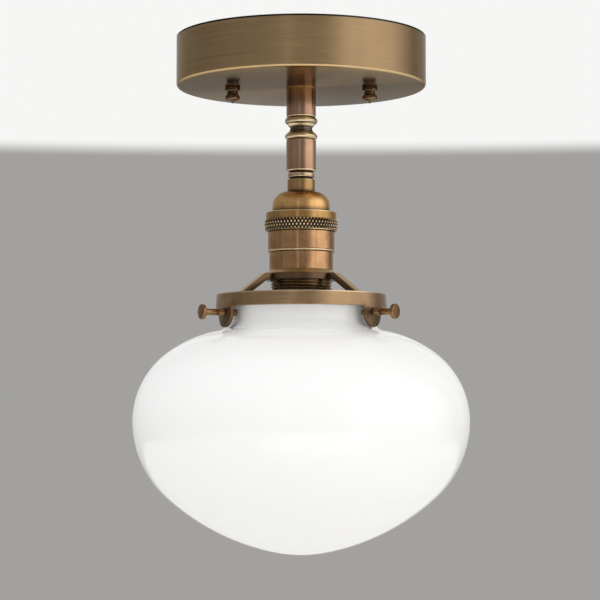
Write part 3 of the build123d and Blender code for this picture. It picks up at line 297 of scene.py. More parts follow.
def canopy_brass():
    """Satin brass: lathe lines that spread the shine, a polished floor, a touch of tarnish.

    The real lines are finer. Here and below they are as coarse as the picture needs.
    """
    line_width = 0.4
    # Painted light: a shade line at the top rim and a highlight line along the rounded lower edge.
    rim_shade = (-0.3, 0.6, 1.0)
    edge_highlight = (canopy_bottom + 0.45, 0.5, 0.9)
    # The polished floor gets a painted highlight: a lighter fan along one diameter, for the shine of its
    # circular marks.
    fan_turn = math.radians(48)
    fan_way = (math.sin(fan_turn), -math.cos(fan_turn), 0)
    material, tree = new_material("satin_brushed_brass")
    lathe = lathe_place(tree)
    lines = add_node(tree, "TexNoise", {
        "Vector": lathe, "Scale": 1 / (line_width * MM), "Detail": 3.0, "Roughness": 0.65})
    place = add_node(tree, "TexCoord").outputs["Object"]
    clouds = add_node(tree, "TexNoise", {"Vector": place, "Scale": 28.0, "Detail": 3.0})
    up = add_node(tree, "NewGeometry").outputs["Normal"]
    level = add_node(tree, "SeparateXYZ", {0: up}).outputs[2]
    under = ramp(tree, level, -0.6, -0.95, 0.0, 1.0)
    streaks = ramp(tree, lines, 0.2, 0.8, 0.0, 1.0)
    streaked = blend(tree, streaks, linear("#947b57"), linear("#b1946d"))
    tarnish = ramp(tree, clouds, 0.35, 0.75, 0.0, 0.35)
    warm = blend(tree, tarnish, streaked, linear("#8a6c4d"))
    parts = add_node(tree, "SeparateXYZ", {0: place})
    level_place = add_node(tree, "CombineXYZ", {0: parts.outputs[0], 1: parts.outputs[1]})
    direction = add_node(tree, "VectorMath", {0: level_place}, operation="NORMALIZE")
    off_line = add_node(tree, "VectorMath", {0: direction, 1: fan_way}, operation="DOT_PRODUCT")
    swept = add_node(tree, "Math", {0: off_line.outputs["Value"]}, operation="ABSOLUTE")
    fan_highlight = ramp(tree, swept, 0.82, 1.0, 0.0, 0.9, interpolation_type="SMOOTHSTEP")
    polished = blend(tree, clouds, linear("#867151"), linear("#9a835d"))
    floor_highlighted = blend(tree, fan_highlight, polished, linear("#d3b891"))
    highlighted = blend(tree, height_marks(tree, [edge_highlight]), warm, linear("#e6c48e"))
    shaded = blend(tree, height_marks(tree, [rim_shade]), highlighted, linear("#2c241a"))
    colour = blend(tree, under, shaded, floor_highlighted)
    side_rough = ramp(tree, lines, 0.3, 0.7, 0.3, 0.44)
    tint = blend(tree, under, edge_tint, linear("#ab9c82"))
    rough = add_node(tree, "Mix", {"Factor": under, "A": side_rough, "B": 0.09})
    relief = add_node(tree, "Math", {0: 1.0, 1: under}, operation="SUBTRACT")
    height = add_node(tree, "Math", {0: lines, 1: relief}, operation="MULTIPLY")
    bump = add_node(tree, "Bump", {"Height": height, "Strength": 0.3, "Distance": 0.02 * MM})
    lacquered(tree, colour, rough, bump, stretch=0.75, coat=0.4, coat_rough=0.2, tint=tint)
    return material


canopy_radius = 63.5
canopy_bottom = -25.4
canopy_wall = 0.9
canopy_round = 1.4
stem_hole = 5.2
bm = outline_from(canopy_radius - canopy_wall, 0)
line_to(bm, canopy_radius, 0)
line_to(bm, canopy_radius, canopy_bottom + canopy_round)
arc_about(bm, canopy_radius - canopy_round, canopy_bottom + canopy_round, -90, 8)
line_to(bm, stem_hole, canopy_bottom)
line_to(bm, stem_hole, canopy_bottom + canopy_wall)
line_to(bm, canopy_radius - canopy_round, canopy_bottom + canopy_wall)
arc_about(bm, canopy_radius - canopy_round, canopy_bottom + canopy_round, 90, 6)
line_to(bm, canopy_radius - canopy_wall, 0)
piece("canopy_cup", turned(bm, 192), [canopy_brass()], "canopy_and_stem",
      ["canopy"])

# Knobs
# Two cast brass nuts, each a flattened ball on a neck with a loose collar above it. They
# have darkened with handling and hold the canopy on its screws.


def turned_metal(name, light, dark, roughness, centre=(0, 0, 0), stretch=0.7, edge_highlights=(), painted_shade=()):
    """Turned lacquered metal: fine rings, painted edge highlights, painted shade in recesses."""
    line_width = 0.45
    material, tree = new_material(name)
    lathe = lathe_place(tree, centre)
    lines = add_node(tree, "TexNoise", {
        "Vector": lathe, "Scale": 1 / (line_width * MM), "Detail": 2.0, "Roughness": 0.6})
    place = add_node(tree, "TexCoord").outputs["Object"]
    clouds = add_node(tree, "TexNoise", {"Vector": place, "Scale": 160.0, "Detail": 4.0})
    patina = ramp(tree, clouds, 0.35, 0.7, 0.0, 0.5)
    colour = blend(tree, patina, linear(light), linear(dark))
    # Bright bands are painted highlights on edges, and dark bands are painted shade in grooves and under
    # edges.
    if edge_highlights:
        colour = blend(tree, height_marks(tree, edge_highlights), colour, linear("#f3dab0"))
    if painted_shade:
        colour = blend(tree, height_marks(tree, painted_shade), colour, linear("#1d150d"))
    rough = ramp(tree, lines, 0.3, 0.7, roughness * 0.9, roughness * 1.12)
    bump = add_node(tree, "Bump", {"Height": lines, "Strength": 0.05, "Distance": 0.02 * MM})
    lacquered(tree, colour, rough, bump, stretch, coat=0.5, coat_rough=0.15)
    return material


knob_spacing = 69.85
collar_radius = 3.9
collar_height = 1.95
collar_round = 0.35
collar_low = canopy_bottom - collar_height
collar_gap = 0.05
neck_radius = 2.75
neck_height = 1.3
ball_radius = 3.85
ball_height = 4.0
ball_turn = 82
tip_radius = 0.75
tip_step = 0.12
screw_hole = 2.13
screw_hole_end = -30.7
for side, sign in (("left", -1), ("right", 1)):
    axis = (sign * knob_spacing / 2 * MM, 0, 0)
    metal = turned_metal(f"aged_brass_knob_{side}", "#735b40", "#3d2e1f", 0.22, axis, stretch=0.2)
    bm = outline_from(screw_hole, canopy_bottom)
    line_to(bm, collar_radius - collar_round, canopy_bottom)
    arc_about(bm, collar_radius - collar_round, canopy_bottom - collar_round, -90, 5)
    line_to(bm, collar_radius, collar_low + collar_round)
    arc_about(bm, collar_radius - collar_round, collar_low + collar_round, -90, 5)
    line_to(bm, screw_hole, collar_low)
    line_to(bm, screw_hole, canopy_bottom)
    turned(bm, 48)
    bmesh.ops.translate(bm, verts=bm.verts, vec=axis)
    piece(f"collar_{side}", bm, [metal], f"{side}_knob_travel", [f"knob_washer_{side}"])

    neck_top = collar_low - collar_gap
    ball_curve = ball_height / 2
    ball_middle = collar_low - neck_height - ball_curve
    lean = math.acos((neck_radius - ball_radius + ball_curve) / ball_curve)
    tip_top = ball_middle - ball_curve - tip_step
    bm = outline_from(screw_hole, neck_top)
    line_to(bm, neck_radius, neck_top)
    line_to(bm, neck_radius, ball_middle + ball_curve * math.sin(lean))
    arc_about(bm, ball_radius - ball_curve, ball_middle, -math.degrees(lean) - ball_turn, 14)
    line_to(bm, tip_radius, tip_top)
    arc_about(bm, 0, tip_top, -90, 5)
    line_to(bm, 0, screw_hole_end)
    line_to(bm, screw_hole, screw_hole_end)
    line_to(bm, screw_hole, neck_top)
    turned(bm, 48)
    bmesh.ops.translate(bm, verts=bm.verts, vec=axis)
    piece(f"ball_knob_{side}", bm, [metal], f"{side}_knob", [f"canopy_knob_{side}"])

# Stem
# Two bronze tubes with a turned double bead between them, a small check ring and a collar.
# The tubes have a warm pinkish tone, the bead is plain yellow brass.

pipe_radius = 5.19
tube_top = canopy_bottom
tube_low = -40.7
spindle_low = -52.4
lower_tube_low = -68.3
tube_radius = 7.5
lower_tube_radius = 7.6
# The light bands at the tubes' rounded ends are painted highlights.
bronze = turned_metal(
    "turned_bronze_tube", "#b99175", "#9c7a5e", 0.2, stretch=0.3,
    edge_highlights=[(tube_top - 0.25, 0.22, 0.7), (tube_low + 0.3, 0.28, 0.8), (lower_tube_low + 0.35, 0.3, 1.0)])


def tube(name, radius, top, low, node):
    """A plain tube whose end edges are rounded, the lower one more."""
    upper_lip = 0.3
    lip = 0.5
    bm = outline_from(pipe_radius, top)
    line_to(bm, radius - upper_lip, top)
    arc_about(bm, radius - upper_lip, top - upper_lip, -90, 5)
    line_to(bm, radius, low + lip)
    arc_about(bm, radius - lip, low + lip, -90, 8)
    line_to(bm, pipe_radius, low)
    line_to(bm, pipe_radius, top)
    return piece(name, turned(bm, 96), [bronze], "canopy_and_stem", [node])


tube("upper_tube", tube_radius, tube_top, tube_low, "stem_upper_tube")
tube("lower_tube", lower_tube_radius, spindle_low, lower_tube_low, "stem_lower_tube")

bead_radius = 8.3
bead_root = 7.2
bead_top = tube_low - 0.4
bead_low = -44.2
lower_bead_top = -49.05
lower_bead_low = -52.0
shoulder_radius = 6.85
shoulder_drop = 0.5
cone_radius = 6.35
cone_drop = 1.1
hollow_radius = 5.6
hollow_top = -46.1
hollow_low = -46.95
step_radius = 5.85
step_top = -47.1
step_low = -47.6
foot_cone_radius = 6.1
foot_cone_top = -47.9
pipe_bore = 3.3
spigot_length = 5.5
spigot_radius = 5.14
# Two edges carry painted highlight lines. The grooves, the bead's underside and the hollow are darkened
# as painted shade.
bead_brass = turned_metal(
    "turned_brass_bead", "#dac6a2", "#b19a77", 0.16, stretch=0.15,
    edge_highlights=[(bead_low - 0.55, 0.2, 0.8), (lower_bead_top + 0.1, 0.15, 0.8)],
    painted_shade=[(tube_low - 0.15, 0.3, 1.0), (bead_low + 0.3, 0.3, 0.8), (hollow_low + 0.2, 1.3, 0.85),
           (spindle_low + 0.2, 0.2, 0.8)])
bm = outline_from(pipe_bore, tube_low + spigot_length)
line_to(bm, spigot_radius, tube_low + spigot_length)
line_to(bm, spigot_radius, tube_low)
line_to(bm, bead_root, tube_low)
line_to(bm, bead_root, bead_top)


def bead_about(bm, top, low):
    """A round bead that stands out of the root between two heights."""
    half = (top - low) / 2
    bulge = bead_radius - bead_root
    ball = (half ** 2 + bulge ** 2) / (2 * bulge)
    lean = math.degrees(math.asin(half / ball))
    arc_about(bm, bead_radius - ball, (top + low) / 2, -2 * lean, 16)


bead_about(bm, bead_top, bead_low)
line_to(bm, shoulder_radius, bead_low - shoulder_drop)
line_to(bm, cone_radius, bead_low - cone_drop)
line_to(bm, hollow_radius, hollow_top)
line_to(bm, hollow_radius, hollow_low)
line_to(bm, step_radius, step_top)
line_to(bm, step_radius, step_low)
line_to(bm, foot_cone_radius, foot_cone_top)
line_to(bm, bead_root, lower_bead_top)
bead_about(bm, lower_bead_top, lower_bead_low)
line_to(bm, bead_root, spindle_low)
line_to(bm, spigot_radius, spindle_low)
line_to(bm, spigot_radius, spindle_low - spigot_length)
line_to(bm, pipe_bore, spindle_low - spigot_length)
line_to(bm, pipe_bore, tube_low + spigot_length)
piece("double_bead", turned(bm, 96), [bead_brass], "canopy_and_stem", ["stem_spindle"])

check_low = -72.55
ring_radius = 6.87
ring_top = -68.95
ring_low = -71.8
ring_round = 0.95
head_radius = 6.4
head_low = -68.55
groove_radius = 5.9
groove_top = -68.65
foot_radius = 6.1
# The grooves above and below the ring and the face under it are darkened as painted shade.
ring_brass = turned_metal(
    "turned_brass_ring", "#d3b796", "#ad9070", 0.16, stretch=0.15,
    painted_shade=[(lower_tube_low - 0.4, 0.35, 1.0), (ring_low + 0.3, 0.3, 0.6), (ring_low - 0.4, 0.4, 1.0)])
bm = outline_from(pipe_radius, lower_tube_low)
line_to(bm, head_radius, lower_tube_low)
line_to(bm, head_radius, head_low)
line_to(bm, groove_radius, groove_top)
line_to(bm, groove_radius, ring_top)
line_to(bm, ring_radius - ring_round, ring_top)
arc_about(bm, ring_radius - ring_round, ring_top - ring_round, -90, 8)
line_to(bm, ring_radius, ring_low + ring_round)
arc_about(bm, ring_radius - ring_round, ring_low + ring_round, -90, 8)
line_to(bm, foot_radius, ring_low)
line_to(bm, foot_radius, check_low)
line_to(bm, pipe_radius, check_low)
line_to(bm, pipe_radius, lower_tube_low)
piece("check_ring_turned", turned(bm, 96), [ring_brass], "canopy_and_stem",
      ["check_ring"])

# Lampholder cap
# Spun brass: a short collar that screws on the pipe, and a round-shouldered dome whose
# rim the union ring grips. It is yellower than the canopy, with painted shade in its corners.

collar = 7.1
collar_edge = 0.25
dome_fillet = 0.15
dome_top = -78.85
dome_radius = 14.8
dome_round = 7.0
flange_top = -90.4
flange_radius = 16.1
cap_low = -91.6
cap_wall = 1.2
dome_centre = dome_top - dome_round
bm = outline_from(pipe_radius, check_low)
line_to(bm, collar - collar_edge, check_low)
arc_about(bm, collar - collar_edge, check_low - collar_edge, -90, 4)
line_to(bm, collar, dome_top + dome_fillet)
line_to(bm, collar + dome_fillet, dome_top)
line_to(bm, dome_radius - dome_round, dome_top)
arc_about(bm, dome_radius - dome_round, dome_centre, -90, 20)
line_to(bm, dome_radius, flange_top)
line_to(bm, flange_radius, flange_top)
line_to(bm, flange_radius, cap_low)
line_to(bm, dome_radius - cap_wall, cap_low)
line_to(bm, dome_radius - cap_wall, dome_centre)
arc_about(bm, dome_radius - dome_round, dome_centre, 90, 16)
line_to(bm, pipe_radius, dome_top - cap_wall)
line_to(bm, pipe_radius, check_low)
# Painted shade: the collar is darkened a little, and shade fades down from under the collar and up from
# the flange. The collar's top edge carries a painted highlight.
collar_shade = [((check_low + dome_top) / 2, 3.1, 0.45)]
dome_shade = [(dome_top, *fading) for fading in ((0.6, 0.85), (1.4, 0.6), (2.6, 0.3))]
flange_shade = [(flange_top + 0.35, *fading)
               for fading in ((0.9, 0.9), (1.7, 0.7), (2.4, 0.45), (3.1, 0.2))]
cap_brass = turned_metal(
    "spun_cap_brass", "#e0b072", "#c49758", 0.26, edge_highlights=[(check_low - 0.3, 0.25, 0.5)],
    painted_shade=collar_shade + dome_shade + flange_shade)
piece("domed_cap", turned(bm, 128), [cap_brass], "canopy_and_stem", ["lampholder_cap"])

# Union ring
# The brass ring that draws cap and barrel together. Its band was rolled with a diamond
# knurl for the fingers. The knurl's points are painted bright as highlight and wear, and its
# hollows dark as shade and dirt.

union_top = -89.35
union_low = -99.25
union_radius = 18.0
union_bore = 16.4
union_round = 0.35
lip_bore = 15.1
lip_low = -90.35
knurl_top = -93.5
knurl_low = -98.4
knurl_rim = 18.4
knurl_crest = 18.85
knurls_round = 63
knurl_depth = 0.55
skirt_radius = 17.9
skirt_edge = 0.15
bm = outline_from(lip_bore, union_top)
line_to(bm, union_radius - union_round, union_top)
arc_about(bm, union_radius - union_round, union_top - union_round, -90, 5)
line_to(bm, union_radius, knurl_top + 0.1)
line_to(bm, knurl_rim - knurl_depth, knurl_top)
line_to(bm, knurl_rim - knurl_depth, knurl_low)
line_to(bm, skirt_radius, knurl_low - 0.05)
line_to(bm, skirt_radius, union_low + skirt_edge)
line_to(bm, skirt_radius - skirt_edge, union_low)
line_to(bm, union_bore, union_low)
line_to(bm, union_bore, lip_low)
line_to(bm, lip_bore, lip_low)
line_to(bm, lip_bore, union_top)
turned(bm, 128)


def knurled_band():
    """The diamond knurl: a band of half-pitch cells, with every other corner raised."""
    rows = 3
    band = bmesh.new()
    height = (knurl_top - knurl_low) * MM
    points = [band.verts.new((knurl_crest * MM, 0, knurl_low * MM + height * row / rows))
              for row in range(rows + 1)]
    for lower, upper in zip(points, points[1:]):
        band.edges.new((lower, upper))
    bmesh.ops.spin(band, geom=band.verts[:] + band.edges[:], cent=(0, 0, 0), axis=(0, 0, 1),
                   angle=2 * math.pi, steps=2 * knurls_round, use_merge=True)
    bmesh.ops.remove_doubles(band, verts=band.verts, dist=1e-6)
    valleys = []
    for vert in band.verts:
        column = round(math.atan2(vert.co.y, vert.co.x) / math.pi * knurls_round)
        row = round((vert.co.z / MM - knurl_low) / (knurl_top - knurl_low) * rows)
        across = (row / rows - 0.5) * 2
        radius = knurl_crest - (knurl_crest - knurl_rim) * across ** 2
        if (column + row) % 2 == 0:
            valleys.append(vert)
            radius -= knurl_depth
        flat = Vector((vert.co.x, vert.co.y, 0)).normalized() * radius * MM
        vert.co = (flat.x, flat.y, vert.co.z)
    bmesh.ops.connect_verts(band, verts=valleys)
    bmesh.ops.recalc_face_normals(band, faces=band.faces)
    for face in band.faces:
        face.material_index = 1
    return band


def join_in(bm, other):
    """Adds another mesh's shape to this one."""
    mesh = bpy.data.meshes.new("joined")
    other.to_mesh(mesh)
    other.free()
    bm.from_mesh(mesh)
    bpy.data.meshes.remove(mesh)


def ridged_metal(name, groove_shade_and_dirt, high, groove, crest, bulge=0.0, middle=0.0, half_height=1.0):
    """Metal cut into points or ridges: painted shade and dirt up to the groove's radius, and a
    painted highlight with wear from the crest's.

    A band that bulges at its middle has its crests and grooves lie further out there.
    """
    material, tree = new_material(name)
    lathe = add_node(tree, "SeparateXYZ", {0: lathe_place(tree)})
    level = ramp(tree, lathe.outputs[2], middle * MM, (middle + half_height) * MM, 0.0, 1.0, clamp=False)
    square = add_node(tree, "Math", {0: level, 1: level}, operation="MULTIPLY")
    radius = add_node(tree, "Math", {
        0: square, 1: bulge * MM, 2: lathe.outputs[0]}, operation="MULTIPLY_ADD")
    share = ramp(tree, radius, groove * MM, crest * MM, 0.0, 1.0)
    place = add_node(tree, "TexCoord").outputs["Object"]
    wear = add_node(tree, "TexNoise", {"Vector": place, "Scale": 120.0, "Detail": 3.0})
    uneven = ramp(tree, wear, 0.3, 0.7, 0.75, 1.1)
    cut = add_node(tree, "Math", {0: share, 1: uneven}, operation="MULTIPLY")
    # Dark grooves are painted shade and dirt, and bright crests are painted highlight and wear.
    colour = blend(tree, cut, linear(groove_shade_and_dirt), linear(high))
    rough = ramp(tree, cut, 0.0, 1.0, 0.6, 0.22)
    shader = add_node(tree, "BsdfPrincipled", {
        "Base Color": colour, "Metallic": 1.0, "Roughness": rough,
        "Specular Tint": edge_tint, "Coat Weight": 0.3, "Coat Roughness": 0.2})
    add_node(tree, "OutputMaterial", {0: shader})
    return material


join_in(bm, knurled_band())
# The top and lower edges carry painted highlights; the knurl's edges and the foot get painted shade
# lines.
socket_brass = turned_metal("satin_union_brass", "#bd9156", "#8f6a3a", 0.24,
                            edge_highlights=[(union_top - 0.2, 0.25, 1.0), (union_low + 0.5, 0.15, 0.7)],
                            painted_shade=[(knurl_top + 0.1, 0.15, 1.0), (knurl_low - 0.1, 0.15, 1.0),
                                   (union_low + 0.05, 0.1, 1.0)])
# Painted shade and dirt in the knurl's hollows, painted highlight and wear on its points.
knurl_brass = ridged_metal(
    "knurled_brass", "#120c06", "#e2c296", groove=knurl_crest - 0.43, crest=knurl_crest - 0.2,
    bulge=knurl_crest - knurl_rim, middle=(knurl_top + knurl_low) / 2,
    half_height=(knurl_top - knurl_low) / 2)
piece("union_ring_knurled", bm, [socket_brass, knurl_brass], "union_ring_body",
      ["union_ring"], sharp_degrees=20)

# Lampholder barrel
# A brass tube turned in two plain steps. Below them is the coarse outside thread that the
# shade holder screws on to. The lower step is bare.

barrel_top = -91.65
sleeve_top = -99.4
sleeve_low = -109.6
waist_low = -118.85
barrel_low = -129.25
sleeve_radius = 17.05
waist_radius = 16.3
thread_crest = 15.6
thread_root = 14.9
thread_pitch = 1.47
barrel_bore = 14.2
ledge_bore = 13.52
ledge_top = barrel_low + 0.9
rim_radius = 16.35
sleeve_edge = 0.2
bead_round = 0.5
bead_inset = 0.12
waist_edge = 0.15
wall_radius = thread_root - 0.05
foot_edge = 0.25
bead_middle = sleeve_low + bead_round
bm = outline_from(barrel_bore, barrel_top)
line_to(bm, rim_radius, barrel_top)
line_to(bm, rim_radius, sleeve_top)
line_to(bm, sleeve_radius - sleeve_edge, sleeve_top)
line_to(bm, sleeve_radius, sleeve_top - sleeve_edge)
line_to(bm, sleeve_radius, bead_middle + bead_round + waist_edge)
line_to(bm, sleeve_radius - bead_inset, bead_middle + bead_round)
arc_about(bm, sleeve_radius - bead_inset - bead_round, bead_middle, -90 - 60, 10)
line_to(bm, waist_radius, sleeve_low)
line_to(bm, waist_radius, waist_low + waist_edge)
line_to(bm, waist_radius - waist_edge, waist_low)
line_to(bm, wall_radius, waist_low)
line_to(bm, wall_radius, barrel_low + 2 * foot_edge)
line_to(bm, wall_radius - foot_edge, barrel_low)
line_to(bm, ledge_bore, barrel_low)
line_to(bm, ledge_bore, ledge_top)
line_to(bm, barrel_bore, ledge_top)
line_to(bm, barrel_bore, barrel_top)
turned(bm, 128)


def helical_thread():
    """One rounded V profile carried round and down, turn after turn, with its back in the wall."""
    steps_per_turn = 96
    turns = (waist_low - barrel_low) / thread_pitch - 0.8
    start_height = waist_low - 0.1
    ridge_height = thread_pitch * 0.62
    ridge_back = thread_root - 0.15
    flank = thread_crest - 0.08
    thread = bmesh.new()
    points = ((ridge_back, 0.0), (flank, 0.42), (thread_crest, 0.5), (flank, 0.58), (ridge_back, 1.0))
    verts = [thread.verts.new((radius * MM, 0, (start_height - share * ridge_height) * MM))
             for radius, share in points]
    for start, end in zip(verts, verts[1:] + verts[:1]):
        thread.edges.new((start, end))
    steps = int(turns * steps_per_turn)
    bmesh.ops.spin(thread, geom=thread.verts[:] + thread.edges[:], cent=(0, 0, 0), axis=(0, 0, 1),
                   dvec=(0, 0, -thread_pitch * MM / steps_per_turn),
                   angle=2 * math.pi * steps / steps_per_turn, steps=steps)
    bmesh.ops.holes_fill(thread, edges=[edge for edge in thread.edges if edge.is_boundary], sides=0)
    bmesh.ops.recalc_face_normals(thread, faces=thread.faces)
    for face in thread.faces:
        face.material_index = 1
    return thread


join_in(bm, helical_thread())
# The thread is darkened as the hub's painted shadow, the sleeve's edges get painted shade lines, and its
# lower bead a painted highlight.
thread_middle = (waist_low + barrel_low) / 2 - 2
barrel_brass = turned_metal("satin_barrel_brass", "#c99a6c", "#85603a", 0.2,
                            edge_highlights=[(bead_middle + 0.05, 0.3, 0.9)],
                            painted_shade=[(sleeve_top - 0.05, 0.15, 1.0), (sleeve_low - 0.15, 0.2, 1.0),
                                   (thread_middle, 6.9, 0.8)])
# The thread's grooves are painted dark as shade and dirt, and its crests bright as highlight and wear.
thread_brass = ridged_metal(
    "cut_thread_brass", "#0f0a05", "#ffe3b2", groove=thread_root + 0.15, crest=thread_crest - 0.3)
piece("barrel_turned", bm, [barrel_brass, thread_brass], "lampholder",
      ["lampholder_barrel"])

# Shade holder
# One brass casting: a tapped hub, three flat arms, a wide band with a flange turned in at
# the top, and three round lugs. Only the band's outside was brushed, level all round.

arm_angles = (87.0, 207.0, 327.0)
hub_top = -118.9
hub_low = -124.1
hub_radius = 18.2
hub_bore = 15.65
hub_chamfer = 1.75
band_top = -131.25
band_low = -138.25
band_radius = 42.95
band_foot = 43.4
band_wall = 1.7
band_bore = band_foot - band_wall
flange_bore = 33.0
flange_low = band_top - 2.2
screw_axis = -141.05
lug_half = 7.5
lug_fillet = 1.5
break_width = 0.45


def holder_brass():
    """Cast brass, brushed round its band, with dark skin on the other faces.

    The skin is partly the casting's own and partly painted shade. Faces that look up are painted
    lighter, as lit from above, the band's top edge carries a painted highlight, and the lugs are
    painted darker, as shaded by the band.
    """
    line_width = 0.3
    material, tree = new_material("brushed_cast_brass")
    lathe = lathe_place(tree)
    lines = add_node(tree, "TexNoise", {
        "Vector": lathe, "Scale": 1 / (line_width * MM), "Detail": 3.0, "Roughness": 0.7})
    place = add_node(tree, "TexCoord").outputs["Object"]
    clouds = add_node(tree, "TexNoise", {"Vector": place, "Scale": 60.0, "Detail": 4.0})
    streaked = blend(tree, lines, linear("#967858"), linear("#c19e77"))
    tarnish = ramp(tree, clouds, 0.4, 0.7, 0.0, 0.5)
    brushed = blend(tree, tarnish, streaked, linear("#7d6243"))
    # The band's top edge gets a painted highlight.
    highlighted = blend(tree, height_marks(tree, [(band_top - 0.1, 0.4, 0.8)]), brushed, linear("#e3cba4"))
    lug_middle = band_low - break_width - lug_half
    shaded = blend(tree, height_marks(tree, [(lug_middle, lug_half, 0.6)]), highlighted, linear("#3f2e1e"))
    outside = add_node(tree, "SeparateXYZ", {0: lathe}).outputs[0]
    skin_free = ramp(tree, outside, (band_radius - 0.6) * MM, (band_radius - 0.15) * MM, 0.0, 1.0)
    facing = add_node(tree, "SeparateXYZ", {
        0: add_node(tree, "NewGeometry").outputs["Normal"]}).outputs[2]
    # Faces that look up are painted lighter, as lit from above; the dark skin is partly painted shade.
    upper = ramp(tree, facing, 0.3, 0.75, 0.0, 1.0)
    skin_and_shade = blend(tree, clouds, linear("#54402a"), linear("#7c6041"))
    top_lit_skin = blend(tree, upper, skin_and_shade, linear("#dbb988"))
    colour = blend(tree, skin_free, top_lit_skin, shaded)
    rough = ramp(tree, lines, 0.3, 0.7, 0.26, 0.42)
    bump = add_node(tree, "Bump", {"Height": lines, "Strength": 0.35, "Distance": 0.02 * MM})
    lacquered(tree, colour, rough, bump, stretch=0.6, coat=0.5, coat_rough=0.2)
    return material


hub_edge = 0.25
bm = outline_from(hub_bore, hub_top)
line_to(bm, hub_radius - hub_chamfer, hub_top)
line_to(bm, hub_radius, hub_top - hub_chamfer)
line_to(bm, hub_radius, hub_low + hub_edge)
line_to(bm, hub_radius - hub_edge, hub_low)
line_to(bm, hub_bore, hub_low)
line_to(bm, hub_bore, hub_top)
turned(bm, 128)


def holder_arm(angle):
    """A flat bar bent once: level from the hub, then down to the flange."""
    width = 6.0
    thickness = 3.2
    bend = 21.2
    foot = 35.3
    edge = 0.3
    top = hub_top - hub_chamfer
    slope = math.atan2(top - band_top, foot - bend)
    drop = thickness / math.cos(slope)
    seat = (band_top + flange_low) / 2
    under_bend = bend - (drop - (top - hub_low)) / math.tan(slope)
    under_foot = bend + (top - drop - seat) / math.tan(slope)
    root = (hub_bore + hub_radius) / 2
    side = ((root, top), (bend, top), (foot, band_top), (foot, seat),
            (under_foot, seat), (under_bend, hub_low), (root, hub_low))
    arm = bmesh.new()
    verts = [arm.verts.new((radius * MM, -width / 2 * MM, height * MM)) for radius, height in side]
    face = arm.faces.new(verts)
    grown = bmesh.ops.extrude_face_region(arm, geom=[face])
    moved = [item for item in grown["geom"] if isinstance(item, bmesh.types.BMVert)]
    bmesh.ops.translate(arm, verts=moved, vec=(0, width * MM, 0))
    bmesh.ops.recalc_face_normals(arm, faces=arm.faces)
    bmesh.ops.bevel(arm, geom=arm.edges[:], offset=edge * MM, segments=2, profile=0.5,
                    affect="EDGES", material=-1)
    turn = Matrix.Rotation(math.radians(angle), 3, "Z")
    bmesh.ops.rotate(arm, verts=arm.verts, cent=(0, 0, 0), matrix=turn)
    return arm


def holder_band():
    """The band and its lugs: cut from flat, edges broken, then rolled round and closed."""
    reach = math.pi * band_foot
    lift = lug_half + lug_fillet
    bm = outline_from(-reach, band_top)
    line_to(bm, -reach, band_low)
    for angle in sorted((angle + 180) % 360 - 180 for angle in arm_angles):
        centre = math.radians(angle) * band_foot
        line_to(bm, centre - lift, band_low)
        arc_about(bm, centre - lift, band_low - lug_fillet, -90, 5)
        line_to(bm, centre - lug_half, screw_axis)
        arc_about(bm, centre, screw_axis, 180, 36)
        line_to(bm, centre + lug_half, band_low - lug_fillet)
        arc_about(bm, centre + lift, band_low - lug_fillet, -90, 5)
    line_to(bm, reach, band_low)
    line_to(bm, reach, band_top)
    bm.verts.ensure_lookup_table()
    bm.edges.new((bm.verts[-1], bm.verts[0]))
    bmesh.ops.remove_doubles(bm, verts=bm.verts, dist=1e-7)
    face = bmesh.ops.contextual_create(bm, geom=bm.edges[:])["faces"][0]
    grown = bmesh.ops.extrude_face_region(bm, geom=[face])
    outer = [item for item in grown["geom"] if isinstance(item, bmesh.types.BMVert)]
    bmesh.ops.translate(bm, verts=outer, vec=(0, -band_wall * MM, 0))
    ends = [f for f in bm.faces if all(abs(abs(v.co.x) - reach * MM) < 1e-6 for v in f.verts)]
    bmesh.ops.delete(bm, geom=ends, context="FACES")
    rims = [e for e in bm.edges if all(v.co.y < -band_wall / 2 * MM for v in e.verts)
            and not e.is_boundary]
    bmesh.ops.bevel(bm, geom=rims, offset=break_width * MM, segments=3, profile=0.5,
                    affect="EDGES", material=-1)
    cuts = 180
    for cut in range(1, cuts):
        bmesh.ops.bisect_plane(bm, geom=bm.verts[:] + bm.edges[:] + bm.faces[:],
                               plane_co=((2 * cut / cuts - 1) * reach * MM, 0, 0), plane_no=(1, 0, 0))
    bmesh.ops.triangulate(bm, faces=bm.faces)
    for vert in bm.verts:
        around = vert.co.x / (band_foot * MM)
        share = min(1, max(0, (vert.co.z / MM - band_low) / (band_top - band_low)))
        outside = band_foot + (band_radius - band_foot) * share
        radius = (band_bore - vert.co.y / MM / band_wall * (outside - band_bore)) * MM
        vert.co = (radius * math.cos(around), radius * math.sin(around), vert.co.z)
    bmesh.ops.remove_doubles(bm, verts=bm.verts, dist=1e-6)
    bmesh.ops.recalc_face_normals(bm, faces=bm.faces)
    return bm


flange_edge = 0.3
flange_top = band_top - 0.02
flange_rim = band_bore + 0.5
flange = outline_from(flange_bore, flange_top - flange_edge)
line_to(flange, flange_bore + flange_edge, flange_top)
line_to(flange, flange_rim, flange_top)
line_to(flange, flange_rim, flange_low)
line_to(flange, flange_bore + flange_edge, flange_low)
line_to(flange, flange_bore, flange_low + flange_edge)
line_to(flange, flange_bore, flange_top - flange_edge)
turned(flange, 144)
join_in(bm, flange)
join_in(bm, holder_band())
for angle in arm_angles:
    join_in(bm, holder_arm(angle))
piece("cast_shade_holder", bm, [holder_brass()], "holder", ["shade_holder"],
      sharp_degrees=30)

# Thumbscrews
# Brass screws, threaded for half their length, with a plain turned disc for a head. Their
# points bear on the globe's neck under its flared lip.

